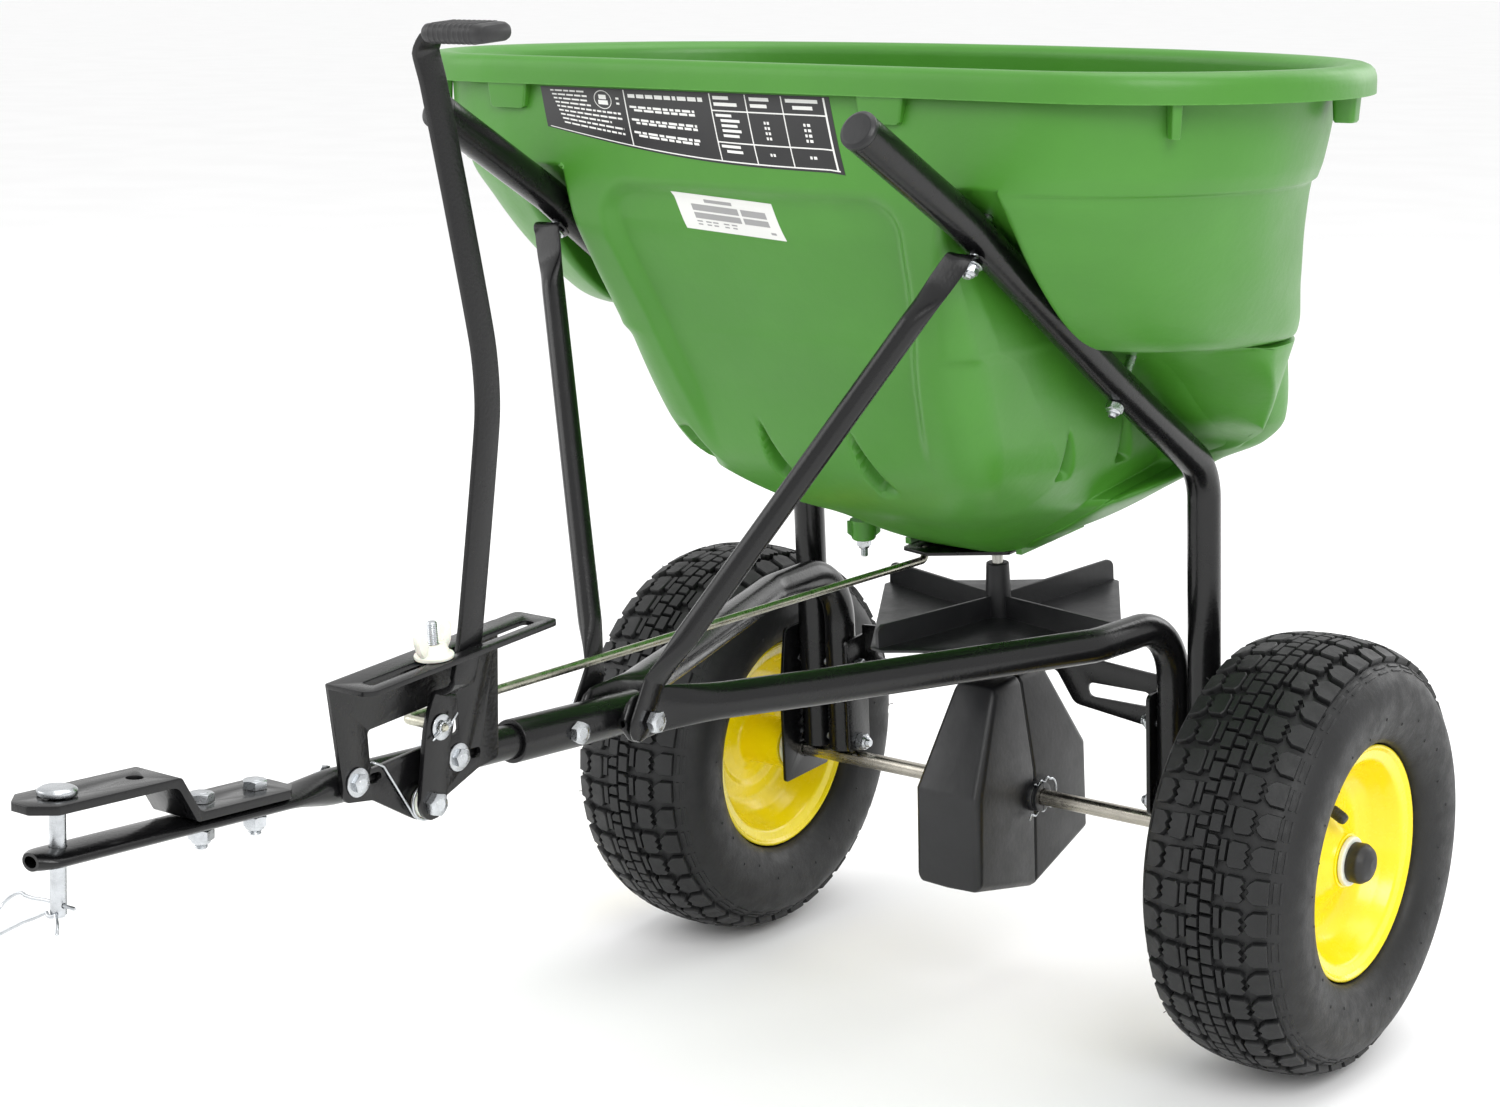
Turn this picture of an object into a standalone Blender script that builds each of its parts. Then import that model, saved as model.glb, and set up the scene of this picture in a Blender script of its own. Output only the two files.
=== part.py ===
"""Tow-behind broadcast spreader, one object for each separate piece.

Metres, +Z up, forward (towards the hitch) is -Y, +X is the machine's left side.
The finished machine's origin is on the ground under the middle of its length. Its
pieces are measured from the ground under the middle of the axle, which is where the
machine empty stands. The chassis is pitched nose down about the axle, so chassis
pieces hang on one empty and are measured from the axle; the hopper has a level rim.
"""

import math

import bmesh
import bpy
from mathutils import Matrix, Quaternion, Vector

# ---- driving dimensions ------------------------------------------------------------
AXLE_Y = 0.396
WHEEL_RADIUS = 0.165
WHEEL_X = 0.264
TYRE_WIDTH = 0.127
CHASSIS_PITCH = math.radians(4.2)
GAP = 0.0004

AXLE_RADIUS = 0.00635
AXLE_HALF = 0.3085
HUB_RADIUS = 0.0205
HUB_BORE = 0.0168
HUB_INNER, HUB_OUTER = 0.0545, 0.0350
VALVE_RADIUS = 0.0040
BUSHING_SIDES = 10

TUBE_RADIUS = 0.0125
TUBE_WALL = 0.0016
LEG_X = 0.181
LEG_TOP_X = 0.175
FRAME_X = 0.1547
TUBE_FOOT = 0.0080
PLATE_THICK = 0.003
TAB_THICK = 0.003
PLATE_X = LEG_X + TUBE_RADIUS + GAP
FRAME_BOLT_Z = (0.080, 0.0155)
FRAME_BOLT_RADIUS = 0.004
LEG_SLOPE = Vector((0, -0.788, 0.615)).normalized()
LEG_NORMAL = Vector((0, -0.615, -0.788)).normalized()
STRUT_BOLT = Vector((LEG_TOP_X + 0.0008, -0.2850, 0.4973))
HOPPER_BOLT = Vector((LEG_X - 0.001, -0.1170, 0.3671))
LEG_BOLT_RADIUS = 0.0034
STRUT_RADIUS = 0.008

TONGUE_PITCH = math.radians(7.2)
TONGUE_Y, TONGUE_Z = -0.46, 0.200
TONGUE_RADIUS = 0.0108
TONGUE_END = -0.477
SLEEVE_RADIUS = 0.0140
SLEEVE_FRONT = -0.106
HITCH_PIN_Y = -0.459
SLEEVE_BOLT_Y = -0.0575
HITCH_BOLT_Y = (-0.360, -0.320)
BRACKET_BOLT_Y = (-0.2540, -0.1690)
BRACKET_BOLT_Z = 0.004
BRACKET_BOLT_RADIUS = 0.003
HITCH_HOLE_RADIUS = 0.0045 + GAP
PLATE_LOW, PLATE_HIGH, PLATE_GAUGE = 0.0054, 0.0275, 0.005

LEVER_PIVOT = (0.023, -0.6605, 0.208)
ROD_JOINT = (0.023, -0.650, 0.253)
LEVER_LOW_X, LEVER_HIGH_X = 0.0210, 0.0320
LEVER_THICK = 0.004
LEVER_HALF_WIDTH = 0.0095
ROD_HOLE_RADIUS = 0.0048
BRACKET_X = 0.0118
BRACKET_THICK = 0.003
FLANGE_Z = 0.300
GATE_HOOK = (-0.030, -0.056, 0.2095)
GATE_LOW, GATE_HIGH = 0.2082, 0.2107
ROD_RADIUS = 0.0030

SHAFT_RADIUS = 0.0043
CROWN_TEETH, PINION_TEETH = 30, 6
CROWN_MEAN_RADIUS = 0.060
PINION_RADIUS = CROWN_MEAN_RADIUS * PINION_TEETH / CROWN_TEETH
TOOTH_HALF_HEIGHT = 0.0018
GEARBOX_OUTLINE = [(-0.083, -0.056), (0.0, -0.079), (0.083, -0.056), (0.083, 0.022),
                   (0.036, 0.098), (-0.036, 0.098), (-0.083, 0.022)]
GEARBOX_HALF_WIDTH = 0.030
GEARBOX_WALL = 0.0025
GEARBOX_SHOULDER, GEARBOX_TOP = 0.022, 0.098
GEARBOX_TAPER = 0.38
IMPELLER_Z = 0.1430
IMPELLER_FOOT = 0.066
BLADE_TIP = 0.128
BLADE_ANGLES = [math.radians(76 + 90 * k) for k in range(4)]

HOPPER_WALL = 0.0035
OUTLET_Y = -0.0155
RIM_Z = 0.748
RIM_BAND = 0.020
# height, front y, ridge x, groove x, lobe x, lobe y, side x, side y, back y
HOPPER_LEVELS = [
    (0.376, -0.066, 0.026, 0.040, 0.046, -0.042, 0.052, -0.0155, 0.036),
    (0.386, -0.090, 0.032, 0.050, 0.057, -0.055, 0.066, -0.0180, 0.040),
    (0.400, -0.130, 0.046, 0.078, 0.088, -0.062, 0.096, -0.0200, 0.042),
    (0.424, -0.196, 0.083, 0.118, 0.130, -0.075, 0.140, -0.0300, 0.043),
    (0.450, -0.234, 0.118, 0.140, 0.156, -0.004, 0.178, 0.0080, 0.044),
    (0.468, -0.250, 0.132, 0.147, 0.196, -0.014, 0.216, 0.0020, 0.045),
    (0.490, -0.264, 0.140, 0.151, 0.200, -0.050, 0.240, -0.0150, 0.045),
    (0.552, -0.296, 0.148, 0.155, 0.200, -0.146, 0.262, -0.0700, 0.046),
    (0.560, -0.299, 0.149, 0.156, 0.203, -0.222, 0.279, -0.1000, 0.046),
    (0.575, -0.306, 0.151, 0.156, 0.202, -0.254, 0.290, -0.1220, 0.046),
    (0.603, -0.320, 0.154, 0.157, 0.201, -0.288, 0.303, -0.1550, 0.046),
    (0.640, -0.337, 0.156, 0.157, 0.200, -0.321, 0.314, -0.1850, 0.046),
    (0.670, -0.341, 0.157, 0.158, 0.200, -0.341, 0.323, -0.2000, 0.046),
    (0.682, -0.341, 0.159, 0.180, 0.210, -0.341, 0.328, -0.2020, 0.046),
    (0.742, -0.336, 0.163, 0.190, 0.220, -0.336, 0.340, -0.1980, 0.040),
]
FLANGE_LEVEL = (-0.3425, 0.165, 0.200, 0.230, -0.3425, 0.3585, -0.1900, 0.0465)
ROOF_Y, ROOF_Z, ROOF_SLOPE = -0.1602, 0.5520, 0.670
LOBE_FLOOR = 0.556

# ---- finishes: colour, roughness, metallic ------------------------------------------
BLACK_PAINT = ((0.012, 0.012, 0.013), 0.30, 0.0)
YELLOW_PAINT = ((0.85, 0.66, 0.0), 0.25, 0.0)
ZINC = ((0.62, 0.64, 0.66), 0.32, 1.0)
STEEL = ((0.55, 0.52, 0.46), 0.30, 1.0)
GREEN_PLASTIC = ((0.095, 0.33, 0.048), 0.42, 0.0)
BLACK_PLASTIC = ((0.018, 0.019, 0.022), 0.45, 0.0)
WHITE_NYLON = ((0.80, 0.80, 0.74), 0.45, 0.0)
RUBBER = ((0.020, 0.020, 0.021), 0.70, 0.0)


# ---- scene helpers --------------------------------------------------------------------
def clear_scene():
    for obj in list(bpy.data.objects):
        bpy.data.objects.remove(obj, do_unlink=True)


def empty(name, parent=None, location=(0, 0, 0), pitch=0.0):
    obj = bpy.data.objects.new(name, None)
    bpy.context.collection.objects.link(obj)
    obj.parent = parent
    obj.location = location
    obj.rotation_euler = (pitch, 0, 0)
    return obj


def principled(name, finish):
    colour, roughness, metallic = finish
    material = bpy.data.materials.new(name)
    material.use_nodes = True
    shader = material.node_tree.nodes["Principled BSDF"]
    shader.inputs["Base Color"].default_value = (*colour, 1.0)
    shader.inputs["Roughness"].default_value = roughness
    shader.inputs["Metallic"].default_value = metallic
    return material


def solid(name, shape, parent=None, origin=(0, 0, 0)):
    """Object from (points, faces) given in the parent's frame, with its own origin."""
    points, faces = shape
    start = Vector(origin)
    mesh = bpy.data.meshes.new(name)
    mesh.from_pydata([Vector(p) - start for p in points], [], faces)
    bm = bmesh.new()
    bm.from_mesh(mesh)
    bmesh.ops.recalc_face_normals(bm, faces=bm.faces)
    bm.to_mesh(mesh)
    bm.free()
    obj = bpy.data.objects.new(name, mesh)
    bpy.context.collection.objects.link(obj)
    obj.parent = parent
    obj.location = start
    return obj


def part(name, shape, finish, parent=None, origin=(0, 0, 0)):
    obj = solid(name, shape, parent, origin)
    obj.data.materials.append(principled(name, finish))
    obj.data.shade_smooth()
    obj.data.set_sharp_from_angle(angle=math.radians(32))
    return obj


def boolean(target, shape, operation):
    """Cuts or joins a hidden helper shape, given in the frame of the target's parent."""
    helper = solid(f"{target.name}_{operation.lower()}", shape, target.parent)
    helper.hide_render = True
    helper.display_type = "WIRE"
    modifier = target.modifiers.new(operation, "BOOLEAN")
    modifier.operation = operation
    modifier.object = helper


def cut(target, *shapes):
    for shape in shapes:
        boolean(target, shape, "DIFFERENCE")


def join(target, *shapes):
    for shape in shapes:
        boolean(target, shape, "UNION")


# ---- shape helpers: each gives (points, faces) -------------------------------------------
def loft(rings, closed=False):
    """Skin over rings of equal length; capped at both ends unless the rings close."""
    count = len(rings[0])
    points = [p for ring in rings for p in ring]
    faces = []
    last = len(rings) if closed else len(rings) - 1
    for i in range(last):
        a, b = i * count, (i + 1) % len(rings) * count
        for k in range(count):
            n = (k + 1) % count
            faces.append((a + k, a + n, b + n, b + k))
    if not closed:
        faces.append(tuple(range(count)))
        faces.append(tuple(range(len(points) - count, len(points))))
    return points, faces


def mirrored(shape):
    points, faces = shape
    return [(-p[0], p[1], p[2]) for p in points], faces


def box(low, high):
    (x0, y0, z0), (x1, y1, z1) = low, high
    plan = [(x0, y0), (x1, y0), (x1, y1), (x0, y1)]
    return loft([[(x, y, z) for x, y in plan] for z in (z0, z1)])


def prism_x(outline, x0, x1):
    """Outline in (y, z), extruded along X."""
    return loft([[(x, y, z) for y, z in outline] for x in (x0, x1)])


def prism_z(outline, z0, z1):
    """Outline in (x, y), extruded along Z."""
    return loft([[(x, y, z) for x, y in outline] for z in (z0, z1)])


def rounded_box_outline(x0, x1, y0, y1, radius, steps=3):
    centres = [(x1 - radius, y1 - radius, 0), (x0 + radius, y1 - radius, 1),
               (x0 + radius, y0 + radius, 2), (x1 - radius, y0 + radius, 3)]
    outline = []
    for cx, cy, quarter in centres:
        for k in range(steps + 1):
            angle = (quarter + k / steps) * math.pi / 2
            outline.append((cx + radius * math.cos(angle), cy + radius * math.sin(angle)))
    return outline


def frame_along(direction):
    """Two unit vectors across a direction, the first as near to X as it can be."""
    along = Vector(direction).normalized()
    side = Vector((1, 0, 0)) if abs(along.x) < 0.9 else Vector((0, 1, 0))
    side = (side - along * side.dot(along)).normalized()
    return side, along.cross(side)


def turned(stations, start, direction, sides=12):
    """Solid of revolution through (distance, radius) stations."""
    side, up = frame_along(direction)
    along = Vector(direction).normalized()
    rings = []
    for distance, radius in stations:
        ring = []
        for k in range(sides):
            angle = math.tau * (k + 0.5) / sides
            ring.append(Vector(start) + along * distance
                        + (side * math.cos(angle) + up * math.sin(angle)) * radius)
        rings.append(ring)
    return loft(rings)


def rod(start, end, radius, sides=8):
    span = Vector(end) - Vector(start)
    reach = radius / math.cos(math.pi / sides)
    return turned([(0, reach), (span.length, reach)], start, span, sides)


def lathe(profile, centre, direction, sides, phase=0.5):
    """Closed profile of (distance along, radius) turned a full circle about an axis."""
    side, up = frame_along(direction)
    along = Vector(direction).normalized()
    rings = []
    for k in range(sides):
        angle = math.tau * (k + phase) / sides
        across = side * math.cos(angle) + up * math.sin(angle)
        rings.append([Vector(centre) + along * a + across * r for a, r in profile])
    return loft(rings, closed=True)


def rounded_path(points, radius, step=math.radians(24)):
    """Path with each inner corner replaced by an arc."""
    points = [Vector(p) for p in points]
    path = [points[0]]
    for before, corner, after in zip(points, points[1:], points[2:]):
        back, ahead = (before - corner).normalized(), (after - corner).normalized()
        turn = math.pi - back.angle(ahead)
        if turn < 0.02:
            path.append(corner)
            continue
        centre = corner + (back + ahead).normalized() * radius / math.cos(turn / 2)
        start = corner + back * radius * math.tan(turn / 2)
        axis = (-back).cross(ahead).normalized()
        count = max(2, math.ceil(turn / step))
        for k in range(count + 1):
            spin = Quaternion(axis, turn * k / count)
            path.append(centre + spin @ (start - centre))
    path.append(points[-1])
    return path


def sweep(path, section, sides=10, wall=0.0, level=False):
    """Pipe along a path. section(distance, total) gives half width and half height.

    The width direction is carried along the path, or kept as near to X as it can be.
    """
    path = [Vector(p) for p in path]
    total = sum((b - a).length for a, b in zip(path, path[1:]))
    outer, inner, distance, side = [], [], 0.0, None
    for i, point in enumerate(path):
        ahead = path[min(i + 1, len(path) - 1)] - point
        behind = point - path[max(i - 1, 0)]
        tangent = (ahead.normalized() + behind.normalized()).normalized()
        if i:
            distance += behind.length
        fresh = side is None or level
        side = frame_along(tangent)[0] if fresh else side - tangent * side.dot(tangent)
        side.normalize()
        up = tangent.cross(side)
        wide, high = section(distance, total)
        for rings, inset in ((outer, 0.0), (inner, wall)):
            a, b = max(wide - inset, 0.0004), max(high - inset, 0.0004)
            turn = [math.tau * (k + 0.5) / sides for k in range(sides)]
            rings.append([point + side * a * math.cos(t) + up * b * math.sin(t) for t in turn])
    if not wall:
        return loft(outer)
    return loft(outer + inner[::-1], closed=True)


def plain(radius):
    return lambda distance, total: (radius, radius)


def hex_bolt(head, direction, grip, radius=0.004, washer=0.0, stud=0.006):
    """Hexagon head, shank, nut and stud end as one piece; head is the head's seat."""
    across = radius * 1.85
    nut = radius * 1.5
    stations = [(-0.0046, across * 0.8), (-0.0040, across), (-washer - 0.0001, across)]
    if washer:
        stations += [(-washer, across * 1.4), (0, across * 1.4)]
    else:
        stations.append((0, across))
    stations += [(0.0002, radius), (grip, radius), (grip + 0.0001, across), (grip + nut, across),
                 (grip + nut + 0.0002, radius * 0.95), (grip + nut + stud, radius * 0.8)]
    return turned(stations, head, direction, 6)


# ---- wheels -------------------------------------------------------------------------------
def tyre_profile():
    half, r = TYRE_WIDTH / 2, WHEEL_RADIUS
    outer = [(0.0385, 0.0784), (0.0415, 0.0886), (0.0590, 0.1010), (half, 0.1190), (0.0600, 0.1410),
             (0.0490, 0.1570), (0.0340, r)]
    inner = [(0.0265, 0.0772), (0.0500, 0.1020), (0.0535, 0.1300), (0.0300, 0.1540)]
    return ([(-a, b) for a, b in outer] + outer[::-1] + inner + [(-a, b) for a, b in inner[::-1]])


def rim_profile():
    return [(0.0430, 0.0870), (0.0400, 0.0770), (0.0200, 0.0700), (-0.0200, 0.0700),
            (-0.0400, 0.0770), (-0.0430, 0.0870), (-0.0455, 0.0862), (-0.0420, 0.0748),
            (-0.0210, 0.0678), (-0.0040, 0.0675), (-0.0110, 0.0450), (-0.0080, HUB_RADIUS),
            (-HUB_INNER, HUB_RADIUS), (-HUB_INNER, HUB_BORE), (HUB_OUTER, HUB_BORE),
            (HUB_OUTER, HUB_RADIUS), (0.0310, HUB_RADIUS), (0.0220, 0.0320),
            (0.0130, 0.0480), (0.0140, 0.0600), (0.0240, 0.0680), (0.0420, 0.0748),
            (0.0455, 0.0862)]


def rim_hollow():
    """Air space between the inner and the outer disc of the rim."""
    return [(-0.0050, 0.0230), (-0.0075, 0.0450), (0.0000, 0.0645), (0.0110, 0.0625),
            (0.0105, 0.0485), (0.0190, 0.0315), (0.0240, 0.0230)]


def bushing_profile():
    inner, outer = -HUB_INNER - GAP, HUB_OUTER + GAP
    body, flange = HUB_BORE - 0.0012, 0.0185
    bore = (AXLE_RADIUS + GAP) / math.cos(math.pi / BUSHING_SIDES)
    return [(inner - 0.0035, bore), (inner - 0.0035, flange), (inner, flange), (inner, body),
            (outer, body), (outer, flange), (outer + 0.0035, flange), (outer + 0.0035, bore)]


def wheel(side, name, axle_line):
    """Rim, tyre, valve stem, hub bushing and dust cap of one wheel."""
    centre = Vector((side * WHEEL_X, 0, WHEEL_RADIUS))
    out = (side, 0, 0)
    rim = part(f"wheel_rim_{name}", lathe(rim_profile(), centre, out, 22), YELLOW_PAINT,
               axle_line, centre)
    part(f"tyre_{name}", lathe(tyre_profile(), centre, out, 24), RUBBER, axle_line, centre)
    part(f"hub_bushing_{name}", lathe(bushing_profile(), centre, out, BUSHING_SIDES), WHITE_NYLON,
         axle_line, centre)
    cut(rim, lathe(rim_hollow(), centre, out, 22))
    base = centre + Vector((side * 0.0125, -0.0160, 0.0500))
    lean = Vector((side * 0.0300, -0.0020, -0.0150))
    stem = [(-0.0040, VALVE_RADIUS), (0.018, 0.0036), (0.0185, 0.0044), (0.029, 0.0044),
            (0.031, 0.0034)]
    part(f"valve_stem_{name}", turned(stem, base, lean, 8), RUBBER, axle_line, base)
    cut(rim, rod(base - lean * 0.2, base + lean * 0.5, VALVE_RADIUS + GAP))
    start = WHEEL_X + HUB_OUTER + 0.0035 + 2 * GAP
    skin = [(start, 0.0066), (start, 0.0150), (start + 0.0090, 0.0148), (start + 0.0140, 0.0120),
            (start + 0.0165, 0.0066)]
    bore = (AXLE_HALF + GAP, 0.0067)
    part(f"axle_cap_{name}", cap_shape(side, skin, bore), RUBBER, axle_line,
         (side * start, 0, WHEEL_RADIUS))


def cap_shape(side, skin, bore, sides=14):
    """Blind cap over the axle end: (distance, radius) from its mouth out to its crown."""
    rings = []
    for distance, radius in [bore, *skin]:
        angles = [math.tau * (k + 0.5) / sides for k in range(sides)]
        rings.append([(side * distance, radius * math.cos(a), WHEEL_RADIUS + radius * math.sin(a))
                      for a in angles])
    return loft(rings)


# ---- drive: axle, gears, gearbox, impeller ---------------------------------------------------
def crown_gear():
    """Disc on the axle with radial teeth on its face towards the impeller shaft."""
    pitch_x = PINION_RADIUS
    tip, root = pitch_x - TOOTH_HALF_HEIGHT, pitch_x + TOOTH_HALF_HEIGHT + 0.0008
    bore = AXLE_RADIUS + GAP
    rings = []
    step = math.tau / CROWN_TEETH
    for tooth in range(CROWN_TEETH):
        for offset, face in ((-0.11, tip), (0.11, tip), (0.50, root)):
            angle = math.pi / 2 + (tooth + offset) * step
            c, s = math.cos(angle), math.sin(angle)
            profile = [(root, bore), (root, 0.054), (face, 0.0542), (face, 0.066),
                       (0.0195, 0.0665), (0.0195, 0.030), (0.0265, bore)]
            rings.append([(x, r * c, r * s) for x, r in profile])
    return loft(rings, closed=True)


def pinion_gear():
    """Small toothed wheel on the foot of the impeller shaft, a tooth gap facing +X."""
    outline = []
    step = math.tau / PINION_TEETH
    outer = PINION_RADIUS + TOOTH_HALF_HEIGHT
    root = PINION_RADIUS - TOOTH_HALF_HEIGHT - 0.0008
    for tooth in range(PINION_TEETH):
        for offset, radius in ((-0.20, root), (-0.045, outer), (0.045, outer), (0.20, root)):
            angle = (tooth + 0.5 + offset) * step
            outline.append((radius * math.cos(angle), radius * math.sin(angle)))
    bore = (SHAFT_RADIUS + GAP) / math.cos(math.pi / len(outline))
    angles = [math.tau * k / len(outline) for k in range(len(outline))]
    hole = [(bore * math.cos(a), bore * math.sin(a)) for a in angles]
    low, high = 0.0545, 0.0655
    rings = [[(x, y, z) for x, y in ring] for ring, z in
             ((outline, low), (outline, high), (hole, high), (hole, low))]
    return loft(rings, closed=True)


def inset_outline(outline, distance):
    """Convex outline moved inwards by a distance."""
    count = len(outline)
    lines = []
    for k in range(count):
        (ax, ay), (bx, by) = outline[k], outline[(k + 1) % count]
        dx, dy = bx - ax, by - ay
        length = math.hypot(dx, dy)
        nx, ny = -dy / length, dx / length
        lines.append((ax + nx * distance, ay + ny * distance, dx / length, dy / length))
    result = []
    for k in range(count):
        px, py, ux, uy = lines[k - 1]
        qx, qy, vx, vy = lines[k]
        t = ((qx - px) * vy - (qy - py) * vx) / (ux * vy - uy * vx)
        result.append((px + ux * t, py + uy * t))
    return result


def hull(points):
    """Convex solid round a set of points."""
    bm = bmesh.new()
    for point in points:
        bm.verts.new(point)
    found = bmesh.ops.convex_hull(bm, input=bm.verts)
    loose = {v for v in found["geom_interior"] + found["geom_unused"]
             if isinstance(v, bmesh.types.BMVert)}
    bmesh.ops.delete(bm, geom=list(loose), context="VERTS")
    bm.verts.index_update()
    shape = [v.co.copy() for v in bm.verts], [tuple(v.index for v in f.verts) for f in bm.faces]
    bm.free()
    return shape


def narrowed(x, z):
    """The gearbox is at its full width up to its shoulder and narrows above it."""
    rise = max(0.0, z - GEARBOX_SHOULDER) / (GEARBOX_TOP - GEARBOX_SHOULDER)
    return x * (1 - GEARBOX_TAPER * rise)


def gearbox_half(way, name, chassis):
    """Moulded half shell, before or behind the plane of the axle and the impeller shaft."""
    wall, half, boss = GEARBOX_WALL, GEARBOX_HALF_WIDTH, GEARBOX_HALF_WIDTH + 0.008

    def block(stations):
        return hull([(narrowed(x, z), y, z) for x, inset in stations
                     for y, z in inset_outline(GEARBOX_OUTLINE, inset)])

    shell = part(f"gearbox_{name}", block(((-half, 0.0055), (0.004 - half, 0.0015),
                                           (half - 0.004, 0.0015), (half, 0.0055))),
                 BLACK_PLASTIC, chassis)
    cut(shell, block(((wall - half, wall + 0.002), (half - wall, wall + 0.002))))
    join(shell, *[rod((side * (half - wall / 2), 0, 0), (side * boss, 0, 0), 0.0115)
                  for side in (1, -1)])
    cut(shell, rod((-0.05, 0, 0), (0.05, 0, 0), AXLE_RADIUS + GAP, 14),
        rod((0, 0, 0.08), (0, 0, 0.12), SHAFT_RADIUS + GAP + 0.0002))
    far, split = 0.12, way * GAP / 2
    other_half = (split, far) if way < 0 else (-far, split)
    cut(shell, box((-0.06, other_half[0], -far), (0.06, other_half[1], far)))


def blade(angle):
    """One upright vane running out from the hub along a diagonal of the plate."""
    c, s = math.cos(angle), math.sin(angle)

    def station(r, high):
        section = [(-0.0015, 0.0008), (-0.0015, high), (0.0015, high), (0.0015, 0.0008)]
        return [(r * c - w * s, r * s + w * c, IMPELLER_Z + z) for w, z in section]

    return loft([station(0.0065, 0.0190), station(BLADE_TIP - 0.0070, 0.0215),
                 station(BLADE_TIP - 0.0014, 0.0155)])


def impeller_plate():
    """Square plate whose blunt corners carry the vanes."""
    outline = []
    for angle in BLADE_ANGLES:
        c, s = math.cos(angle), math.sin(angle)
        for w in (-0.006, 0.006):
            outline.append((BLADE_TIP * c - w * s, BLADE_TIP * s + w * c))
    return prism_z(outline, IMPELLER_Z, IMPELLER_Z + 0.0025)


def drive(chassis, axle_line):
    centre = (0, 0, WHEEL_RADIUS)
    part("axle", rod((-AXLE_HALF, 0, WHEEL_RADIUS), (AXLE_HALF, 0, WHEEL_RADIUS), AXLE_RADIUS, 14),
         STEEL, axle_line, centre)
    part("crown_gear", crown_gear(), BLACK_PLASTIC, chassis)
    part("pinion_gear", pinion_gear(), BLACK_PLASTIC, chassis)
    part("impeller_shaft", turned([(0.0500, SHAFT_RADIUS), (0.2520, SHAFT_RADIUS),
                                   (0.2540, SHAFT_RADIUS * 0.8)], (0, 0, 0), (0, 0, 1)),
         STEEL, chassis)
    for way, name in ((-1, "front"), (1, "rear")):
        gearbox_half(way, name, chassis)
    impeller = part("impeller", impeller_plate(), BLACK_PLASTIC, chassis)
    join(impeller, *[blade(angle) for angle in BLADE_ANGLES])
    join(impeller, turned([(IMPELLER_Z - 0.0035, IMPELLER_FOOT - 0.003),
                           (IMPELLER_Z + 0.0013, IMPELLER_FOOT)], (0, 0, 0), (0, 0, 1), 20))
    join(impeller, turned([(IMPELLER_Z - 0.0045, 0.0105), (0.1600, 0.0100), (0.1880, 0.0090)],
                          (0, 0, 0), (0, 0, 1), 16))
    cut(impeller, rod((0, 0, 0.12), (0, 0, 0.21), SHAFT_RADIUS + GAP))
    part("agitator", agitator_shape(), STEEL, chassis)


def agitator_shape():
    """Spring wire: a closed eye round the shaft with two tails that stir the hopper."""
    eye = SHAFT_RADIUS + 0.0022
    path = [(-0.049, -0.015, 0.260), (-0.032, -0.009, 0.240)]
    turns, steps = 2.5, 8
    for k in range(int(turns * steps) + 1):
        angle = -math.pi / 2 + math.tau * k / steps
        path.append((eye * math.cos(angle), eye * math.sin(angle), 0.236 + 0.0042 * k / steps))
    path += [(0.032, 0.009, 0.250), (0.049, 0.015, 0.268)]
    return sweep(path, plain(0.0015), 6)


# ---- chassis ----------------------------------------------------------------------------------
def leg_path(side):
    bend = [(LEG_X, 0.0, TUBE_FOOT), (LEG_X, 0.0, 0.283), (LEG_X - 0.001, -0.133, 0.3786),
            (LEG_TOP_X, -0.300, 0.5090), (LEG_TOP_X - 0.003, -0.407, 0.5800)]
    return rounded_path([(side * x, y, z) for x, y, z in bend], 0.045)


def frame_bolt_holes(side):
    return [rod((side * 0.12, 0, z), (side * 0.21, 0, z), FRAME_BOLT_RADIUS + GAP)
            for z in FRAME_BOLT_Z]


def leg(side, name, chassis):
    tube = part(f"leg_tube_{name}", sweep(leg_path(side), plain(TUBE_RADIUS), 8, TUBE_WALL),
                BLACK_PAINT, chassis)
    for spot in (STRUT_BOLT, HOPPER_BOLT):
        centre = Vector((side * spot.x, spot.y, spot.z))
        cut(tube, rod(centre - LEG_NORMAL * 0.03, centre + LEG_NORMAL * 0.03, LEG_BOLT_RADIUS + GAP))
    cut(tube, *frame_bolt_holes(side))
    path = leg_path(side)
    end, along = path[-1], (path[-1] - path[-2]).normalized()
    inner = (TUBE_RADIUS - TUBE_WALL) * math.cos(math.pi / 8) - GAP
    plug = [(-0.012, inner), (GAP, inner),
            (GAP + 0.0001, TUBE_RADIUS), (0.003, TUBE_RADIUS), (0.0045, TUBE_RADIUS * 0.8)]
    part(f"leg_cap_{name}", turned(plug, end, along), BLACK_PLASTIC, chassis, end)


def frame_tube(side, name, chassis):
    """Side tube of the drawbar frame, from its flattened front end to the axle plate."""
    corners = [(0.0182, -0.478, 0.2015), (0.0182, -0.440, 0.2010), (0.0600, -0.330, 0.1900),
               (0.1470, -0.100, 0.1700), (FRAME_X, 0.0, 0.1640), (FRAME_X, 0.0, TUBE_FOOT)]
    path = rounded_path([(side * x, y, z) for x, y, z in corners], 0.050)

    def section(distance, total):
        flat = min(max((0.085 - distance) / 0.050, 0.0), 1.0)
        return TUBE_RADIUS + (0.0038 - TUBE_RADIUS) * flat, TUBE_RADIUS + 0.0035 * flat

    before_bend = path[0] + (path[1] - path[0]) * 0.9
    middle_of_flat = Vector((side * 0.0266, -0.4180, 0.1988))
    end_of_flat = Vector((side * 0.0358, -0.3936, 0.1964))
    path = [path[0], before_bend, *path[1:4], middle_of_flat, end_of_flat, *path[4:]]
    tube = part(f"frame_tube_{name}", sweep(path, section, 8, TUBE_WALL), BLACK_PAINT, chassis)
    cut(tube, rod((0, TONGUE_Y, TONGUE_Z), (side * 0.04, TONGUE_Y, TONGUE_Z),
                  FRAME_BOLT_RADIUS + GAP))
    cut(tube, *frame_bolt_holes(side))


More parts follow.
